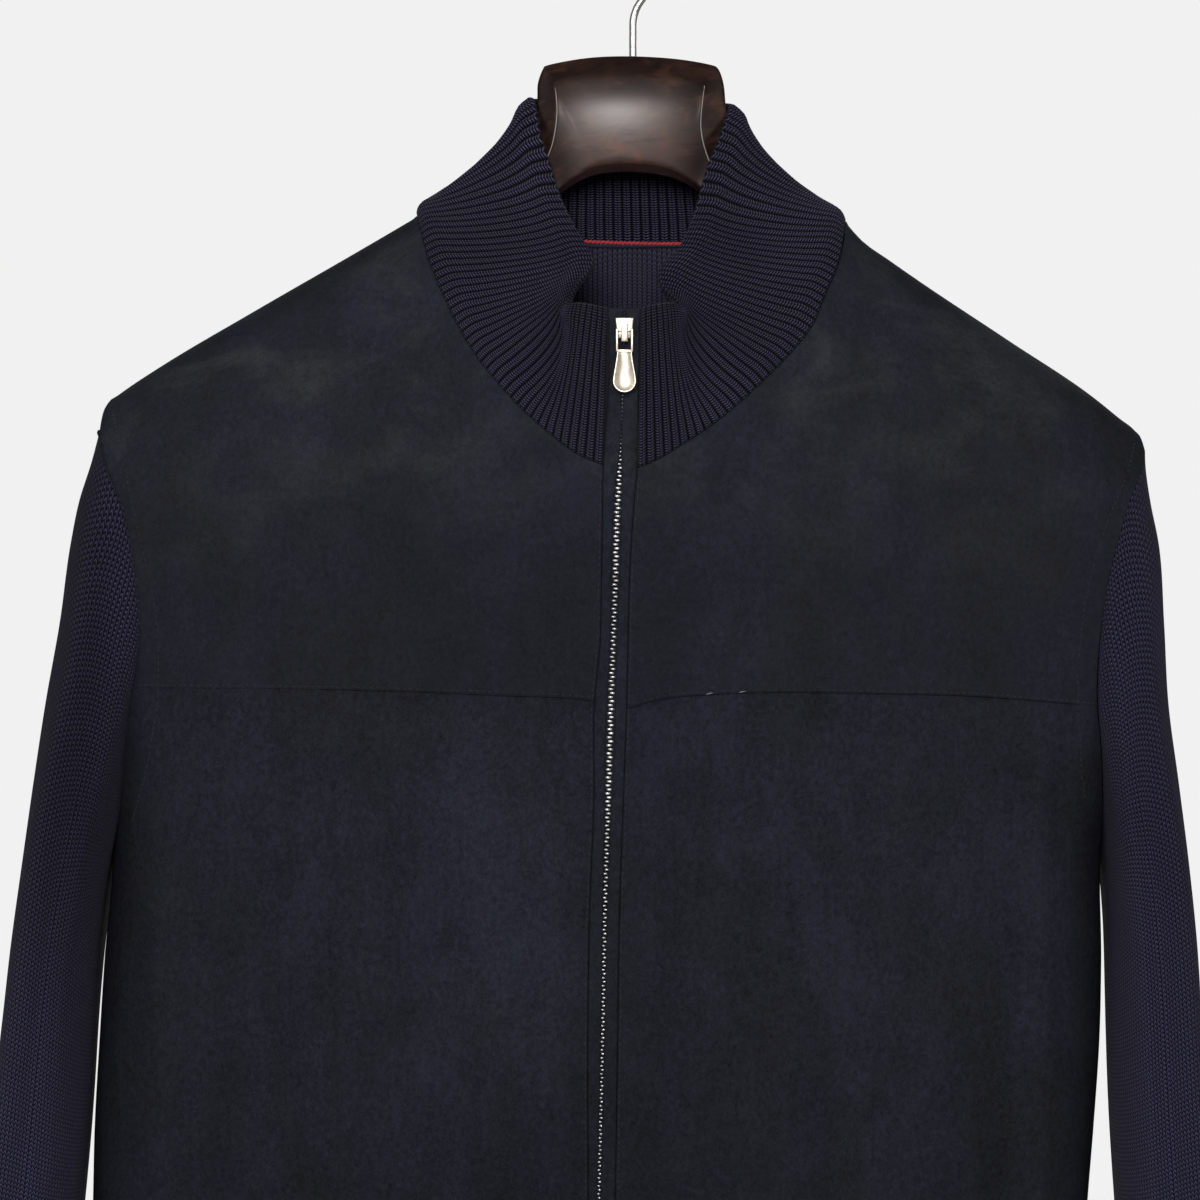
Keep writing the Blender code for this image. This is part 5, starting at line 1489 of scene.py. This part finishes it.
class Finish:
    """A material under construction, with one way to make each kind of node."""

    def __init__(self, name, **constants):
        self.material = bpy.data.materials.new(name)
        self.material.use_nodes = True
        self.tree = self.material.node_tree
        self.shader = self.tree.nodes["Principled BSDF"]
        for socket, value in constants.items():
            self.shader.inputs[socket.replace("_", " ")].default_value = value

    def node(self, kind, settings=None, values=None):
        node = self.tree.nodes.new("ShaderNode" + kind)
        for setting, value in (settings or {}).items():
            setattr(node, setting, value)
        for socket, value in (values or {}).items():
            self.fill(node.inputs[socket], value)
        return Node(self, node)

    def fill(self, socket, value):
        if isinstance(value, Value):
            self.tree.links.new(value.socket, socket)
        else:
            socket.default_value = value

    def set(self, **values):
        for socket, value in values.items():
            self.fill(self.shader.inputs[socket.replace("_", " ")], value)
        return self

    def place(self, scale=(1, 1, 1), turn=(0, 0, 0)):
        """A point of the piece, stretched for a pattern."""
        point = self.node("TexCoord").out("Object")
        values = {"Vector": point, "Scale": scale, "Rotation": turn}
        return self.node("Mapping", None, values).out("Vector")

    def axes(self, point=None):
        """The three parts of a point, by default of the piece."""
        parts = self.node("SeparateXYZ", None, {"Vector": self.place() if point is None else point})
        return [parts.out(axis) for axis in "XYZ"]

    def noise(self, point, scale, detail=3.0, roughness=0.55, distortion=0.0):
        values = {"Vector": point, "Scale": scale, "Detail": detail,
                  "Roughness": roughness, "Distortion": distortion}
        return self.node("TexNoise", None, values).out(0)

    def mix(self, factor, first, second):
        """A colour between two colours."""
        def colour(value):
            return value if isinstance(value, Value) else (*value, 1)

        values = {0: factor, 6: colour(first), 7: colour(second)}
        return self.node("Mix", {"data_type": "RGBA"}, values).out(2)

    def shaded(self, colour, factor):
        """A colour made lighter or darker by a value."""
        node = self.node("VectorMath", {"operation": "SCALE"}, {0: colour, 3: factor})
        return node.out(0)

    def bump(self, height, distance, strength=1.0, under=None):
        values = {"Height": height, "Distance": distance, "Strength": strength}
        if under is not None:
            values["Normal"] = under
        return self.node("Bump", None, values).out("Normal")

    def stitch(self, slope):
        """Knit stitches from the counts in the UV map: their height, and the wale's own."""
        counts = self.node("UVMap", {"uv_map": "UVMap"}).out("UV")
        across, up, _ = self.axes(counts)
        off_middle = (across.fraction() - 0.5).size() * 2
        leg = ((up - off_middle * slope) * (2 * math.pi)).cosine() * 0.5 + 0.5
        wale = 1 - off_middle ** 3.0
        groove = off_middle.between(0.0, 0.25)
        return leg * (groove * 0.5 + 0.5) * wale, wale


def knit_finish(name, base, light, bump, slope, groove_shade, contrast=(1.2, 1.55, 0.10)):
    """Wool knit: V-shaped stitches with painted shade between them, a faint melange, and painted light
    and shade on a few parts.
    """
    made = Finish(
        name, Roughness=0.92, Sheen_Weight=0.04, Sheen_Roughness=0.5, Specular_IOR_Level=0.08
    )
    height, wale = made.stitch(slope)
    cloud = made.noise(made.place((1, 1, 0.6)), 9.0, 3.0)
    fibre = made.noise(made.place(), 900.0, 3.0, 0.7)
    x, y, z = made.axes()
    # Painted shade on the collar's front by the zip and on the upper part of the wearer's right sleeve;
    # painted light low down and inside the back of the neck.
    by_zip = 1 - (x - HINGE_X).size().between(0.018, 0.042)
    flap = by_zip * (1 - y.between(-0.075, -0.050)) * z.between(-0.31, -0.29)
    right_cap = (1 - x.between(-0.262, -0.240)) * z.between(-0.60, -0.42)
    low_part = 1 - z.between(-0.62, -0.45)
    in_neck = y.between(0.0, 0.020) * z.between(-0.215, -0.190)
    painted_light_and_shade = flap * 0.22 + right_cap * 0.40 - low_part * 0.12 - in_neck * 0.26
    tone = made.mix(cloud.between(0.35, 0.65) * 0.5 + fibre.between(0.42, 0.62) * 0.5, base, light)
    # Painted shade in the grooves between the stitches and between the wales.
    depth = height * (1 - groove_shade) + wale * groove_shade
    power, gain, least = contrast
    colour = made.shaded(tone, (depth ** power * gain + least) * (1 - painted_light_and_shade))
    fuzz = made.bump(fibre, 0.00012, 0.4)
    return made.set(Base_Color=colour, Normal=made.bump(height, bump, 1.0, fuzz)).material


def suede_finish(name, base, blue, grey, blue_share, contrast):
    """Napped suede: clouds and upright streaks where the nap lies this way or that, with painted light
    on the shoulders and low beside the zip.
    """
    made = Finish(name, Roughness=0.97, Specular_IOR_Level=0.05)
    clouds = made.noise(made.place((1, 1, 0.5)), 21.0, 4.0, 0.6, 0.35)
    blotches = made.noise(made.place((1, 1, 0.7)), 42.0, 5.0, 0.62, 0.5)
    strokes = made.noise(made.place((1, 1, 0.09), (0, 0.06, 0)), 75.0, 3.0, 0.55)
    swirls = made.noise(made.place((1, 1, 1.6), (0, 0.5, 0)), 19.0, 5.0, 0.6, 0.6)
    mottle = made.noise(made.place((1, 1, 0.8)), 400.0, 3.0, 0.65)
    nap = made.noise(made.place((1, 1, 0.7)), 1150.0, 2.0, 0.75)
    x, _, z = made.axes()
    near_zip = 1 - (x + 0.030).size().between(0.015, 0.12)
    near_shoulder = z.between(-0.37, -0.22)
    near_hem = 1 - z.between(-0.68, -0.50)
    beside_zip = 1 - (x + 0.060).size().between(0.018, 0.050)
    lit = beside_zip * (1 - z.between(-0.43, -0.38)) * z.between(-0.62, -0.54)
    bluer = clouds.between(0.40, 0.62) * 0.75 + near_zip * blotches * 0.5
    bluer = bluer + mottle.between(0.45, 0.65) * 0.3
    tone = made.mix(bluer * blue_share, base, blue)
    tone = made.mix(swirls.between(0.42, 0.70) * (near_shoulder * 0.55 + 0.05), tone, grey)
    shade = clouds * 0.24 + blotches * 0.34 + strokes * 0.24 + swirls * 0.12
    shade = (shade + nap * 0.80 + mottle * 0.70 - 1.22) * contrast + 1.05
    # Painted light: the shoulders are lighter, less so on the wearer's left, and lit is a painted pool
    # of light beside the zip low down. The suede is also darker by the zip and towards the hem.
    left_half = x.between(-0.14, 0.04)
    lightness = near_shoulder * (0.28 - left_half * 0.10) - near_zip * 0.08 - near_hem * 0.13
    colour = made.shaded(tone, shade * (lightness + lit * 0.20 + 0.90))
    soft = made.bump(nap, 0.00020, 0.45)
    return made.set(Base_Color=colour, Normal=made.bump(blotches, 0.0008, 0.2, soft)).material


def thread_finish(name, colour, light):
    made = Finish(name, Roughness=0.7, Sheen_Weight=0.1, Specular_IOR_Level=0.3)
    twist = made.noise(made.place((1, 1, 1), (0, 0.8, 0)), 2600.0, 1.0)
    tone = made.mix(twist.between(0.35, 0.65), colour, light)
    return made.set(Base_Color=tone, Normal=made.bump(twist, 0.0001, 0.6)).material


def metal_finish(name, colour, dark, roughness, wear, lit_parts=()):
    """Metal with dark wear. Away from its lit parts, (height, half length), it is darkened by painted
    shade.
    """
    made = Finish(name, Metallic=1.0)
    spots = made.noise(made.place(), 420.0, 4.0, 0.65)
    scratches = made.noise(made.place((1, 1, 0.15), (0, 0.3, 0)), 2200.0, 2.0)
    tone = made.mix(spots.between(0.42, 0.70) * wear, colour, dark)
    if lit_parts:
        height = made.axes()[2]
        strip_shade = 1.0
        for middle, half in lit_parts:
            strip_shade = (height - middle).size().between(half * 0.7, half * 1.5) * strip_shade
        # Painted shade where the strips shade the teeth, away from the lit parts.
        tone = made.mix(strip_shade * 0.55, tone, dark)
    rough = spots * 0.16 + scratches * 0.08 + (roughness - 0.12)
    return made.set(
        Base_Color=tone, Roughness=rough, Normal=made.bump(scratches, 0.00003, 0.25)
    ).material


def wood_finish():
    """Dark stained beech under a satin lacquer, with a reddish figure along the grain, a painted sheen
    low on the front and painted glints along the front ridges.
    """
    made = Finish(
        "dark_lacquered_wood", Coat_Roughness=0.34, Specular_IOR_Level=0.20,
        Specular_Tint=(1.0, 0.86, 0.80, 1),
    )
    drift = made.noise(made.place(), 14.0, 2.0)
    along = made.place((8, 55, 44), (0, 0.10, 0))
    moved = made.node("VectorMath", {"operation": "ADD"}, {0: along, 1: made.shaded(drift, 2.6)})
    grain = made.noise(moved.out(0), 1.0, 5.0, 0.62, 0.5)
    pores = made.noise(made.place((70, 420, 420), (0, 0.10, 0)), 1.0, 2.0, 0.6)
    figure = made.noise(made.place((42, 60, 64), (0, 0.3, 0)), 1.0, 4.0, 0.6, 1.4)
    tone = made.mix(grain.between(0.38, 0.64), (0.0065, 0.0032, 0.0027), (0.026, 0.0115, 0.0085))
    x, _, z = made.axes()
    from_middle = (x + 0.003).size()
    # Painted sheen: the lower middle of the front is lighter and redder, with more of the figure
    # showing.
    painted_sheen = (1 - from_middle.between(0.016, 0.036)) * (1 - z.between(-0.128, -0.100))
    glossy = (1 - from_middle.between(0.018, 0.042)) * (1 - z.between(-0.106, -0.097))
    tone = made.mix(painted_sheen * (grain * 0.8 + 0.25), tone, (0.074, 0.038, 0.031))
    tone = made.mix(figure.between(0.50, 0.70) * (painted_sheen * 0.5 + 0.3), tone, (0.110, 0.042, 0.024))
    tone = made.mix(pores.between(0.56, 0.70) * 0.5, tone, (0.004, 0.002, 0.002))
    # Painted glints: a thin pale line along the marked front ridges.
    ridge = made.node("Attribute", {"attribute_name": "ridge_glint"}).out("Fac")
    tone = made.mix(ridge.between(0.92, 1.0) * 0.85, tone, (0.42, 0.39, 0.37))
    rough = grain * 0.08 + pores * 0.08 + 0.30
    grainy = made.bump(pores, 0.00005, 0.3)
    return made.set(
        Base_Color=tone, Roughness=rough, Coat_Weight=glossy * 0.6, Normal=grainy
    ).material


def woven_finish(name, base, light):
    made = Finish(name, Roughness=0.8, Specular_IOR_Level=0.2)
    across, up, _ = made.axes(made.node("UVMap", {"uv_map": "UVMap"}).out("UV"))
    twill = ((across + up) * (2 * math.pi)).cosine() * 0.5 + 0.5
    tone = made.mix(twill, base, light)
    return made.set(Base_Color=tone, Normal=made.bump(twill, 0.0002, 0.8)).material


def plain_finish(name, colour, roughness):
    made = Finish(name, Roughness=roughness)
    cloud = made.noise(made.place(), 3.0, 2.0)
    return made.set(Base_Color=made.mix(cloud * 0.1, colour, [0.97 * c for c in colour])).material


SUEDE_BLUE = (0.0150, 0.0165, 0.0244)
SUEDE_UPPER = suede_finish(
    "napped_suede_upper", (0.0147, 0.0150, 0.0194), SUEDE_BLUE, (0.0310, 0.0316, 0.0350), 0.9, 1.2
)
SUEDE_LOWER = suede_finish(
    "napped_suede_lower", (0.0142, 0.0144, 0.0190), SUEDE_BLUE, (0.0240, 0.0250, 0.0290), 0.9, 1.7
)
PLAIN_KNIT = knit_finish(
    "navy_plain_knit", (0.0196, 0.0170, 0.0400), (0.0300, 0.0275, 0.0585),
    0.0006, 0.85, 0.12, (1.7, 2.6, 0.04),
)
FINE_KNIT = knit_finish(
    "navy_fine_knit", (0.0270, 0.0235, 0.0440), (0.0410, 0.0375, 0.0640), 0.0004, 0.80, 0.3
)
RIB = knit_finish(
    "navy_rib_knit", (0.0194, 0.0170, 0.0350), (0.0306, 0.0280, 0.0530),
    0.0006, 0.70, 0.08, (2.3, 3.6, 0.03),
)
WOVEN_TAPE = woven_finish("dark_zip_tape", (0.006, 0.006, 0.009), (0.018, 0.018, 0.024))
THREAD = thread_finish("navy_thread", (0.006, 0.006, 0.009), (0.014, 0.014, 0.019))
SEAM_THREAD = thread_finish("navy_wool_thread", (0.016, 0.014, 0.026), (0.034, 0.031, 0.052))
RED_THREAD = thread_finish("red_thread", (0.40, 0.022, 0.032), (0.72, 0.065, 0.085))
PALE_THREAD = thread_finish("pale_thread", (0.16, 0.15, 0.15), (0.30, 0.28, 0.27))
NICKEL = metal_finish("warm_nickel", (0.58, 0.51, 0.41), (0.30, 0.26, 0.21), 0.36, 0.55)
# The teeth are lit only where the zip's gap is wide; elsewhere they get painted shade.
TOOTH_METAL = metal_finish(
    "tooth_metal", (0.60, 0.59, 0.58), (0.14, 0.14, 0.15), 0.36, 0.65,
    lit_parts=((-0.318, 0.022), (-0.425, 0.030)),
)
STEEL = metal_finish("bright_wire", (0.62, 0.60, 0.57), (0.40, 0.39, 0.37), 0.22, 0.30)
DARK_WOOD = wood_finish()

panels = [piece for wearer_side in (-1, 1) for piece in suede_front(wearer_side)]
back = knit_back()
band = hem_rib()
arms = [piece for wearer_side in (-1, 1) for piece in sleeve(wearer_side)]
neckband = collar()
strips = zip_strips()
zip_teeth()
topstitching()
loose_threads()
red_chain()
neck_seam_roll()
zip_slider()
pull_tab()
zip_box()
hanger_wood()
hanger_hook()

# What each cloth was cut to: its width, its length, its area, and what holds it.
CUTS = {
    "front_right_upper_suede": (0.251, 0.261, 0.0472, "hung", ["hanger_wood"]),
    "front_left_upper_suede": (0.249, 0.256, 0.0457, "hung", ["hanger_wood"]),
    "front_right_lower_suede": (0.286, 0.436, 0.1090, "hung", ["front_right_upper_suede"]),
    "front_left_lower_suede": (0.275, 0.420, 0.1059, "hung", ["front_left_upper_suede"]),
    "back_knit": (0.618, 0.671, 0.3226, "hung", ["hanger_wood"]),
    "sleeve_right_knit": (0.493, 0.587, 0.1325, "hung", ["front_right_upper_suede", "back_knit"]),
    "sleeve_left_knit": (0.464, 0.574, 0.1272, "hung", ["front_left_upper_suede", "back_knit"]),
    "cuff_right_rib": (0.262, 0.071, 0.0169, "hung", ["sleeve_right_knit"]),
    "cuff_left_rib": (0.255, 0.070, 0.0163, "hung", ["sleeve_left_knit"]),
    "hem_rib": (1.179, 0.069, 0.0759, "hung", ["back_knit"]),
    "collar_rib": (0.742, 0.082, 0.0470, "folded", ["back_knit", "front_right_upper_suede"]),
    "zip_strip_right": (0.010, 0.659, None, "folded", ["front_right_upper_suede"]),
    "zip_strip_left": (0.010, 0.659, None, "folded", ["front_left_upper_suede"]),
    "zip_tape_right_woven": (0.012, 0.659, None, "hung", ["front_right_upper_suede"]),
    "zip_tape_left_woven": (0.012, 0.659, None, "hung", ["front_left_upper_suede"]),
}
for cloth in [*panels, back, band, *arms, neckband, *strips]:
    width, length, area, held, holders = CUTS[cloth.name]
    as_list(holders)


def soft_light(name, place, target, size, power):
    light = bpy.data.lights.new(name, "AREA")
    light.size, light.energy = size, power
    lamp = bpy.data.objects.new(name, light)
    lamp.location = place
    lamp.rotation_euler = (Vector(target) - Vector(place)).to_track_quat("-Z", "Y").to_euler()
    bpy.context.scene.collection.objects.link(lamp)


def studio():
    """A pale room, soft lights, a plain floor and the camera at the photograph's place."""
    world = bpy.data.worlds.new("pale_room")
    world.use_nodes = True
    nodes, links = world.node_tree.nodes, world.node_tree.links
    room = nodes["Background"]
    room.inputs["Color"].default_value = (0.20, 0.20, 0.205, 1)
    backdrop = nodes.new("ShaderNodeBackground")
    backdrop.inputs["Color"].default_value = (0.880, 0.880, 0.880, 1)
    seen = nodes.new("ShaderNodeMixShader")
    links.new(nodes.new("ShaderNodeLightPath").outputs["Is Camera Ray"], seen.inputs[0])
    links.new(room.outputs[0], seen.inputs[1])
    links.new(backdrop.outputs[0], seen.inputs[2])
    links.new(seen.outputs[0], nodes["World Output"].inputs["Surface"])
    bpy.context.scene.world = world
    bpy.context.scene.view_settings.view_transform = "Standard"
    soft_light("front", (-0.10, -2.7, 0.16), (0, 0, -0.30), 0.6, 46)
    soft_light("left", (-1.9, -1.9, 0.6), (0, 0, -0.40), 1.2, 12)
    soft_light("right", (2.0, -1.7, 0.2), (0, 0, -0.45), 1.2, 9)
    soft_light("behind", (0.2, 2.6, 0.8), (0, 0, -0.45), 1.4, 26)
    bm = bmesh.new()
    bmesh.ops.create_circle(bm, cap_ends=True, segments=96, radius=1.8)
    bmesh.ops.translate(bm, verts=bm.verts, vec=(0, 0, FLOOR))
    mesh = bpy.data.meshes.new("floor")
    bm.to_mesh(mesh)
    bm.free()
    floor = bpy.data.objects.new("floor", mesh)
    mesh.materials.append(plain_finish("pale_floor", (0.80, 0.80, 0.80), 0.9))
    bpy.context.scene.collection.objects.link(floor)
    camera = bpy.data.cameras.new("camera")
    camera.sensor_width = 36
    camera.lens = 36 * CAMERA_AWAY / FRAME_WIDTH
    eye = bpy.data.objects.new("camera", camera)
    eye.location = (-0.016, -CAMERA_AWAY, -0.3544)
    eye.rotation_euler = (math.pi / 2, 0, 0)
    bpy.context.scene.collection.objects.link(eye)
    bpy.context.scene.camera = eye


studio()
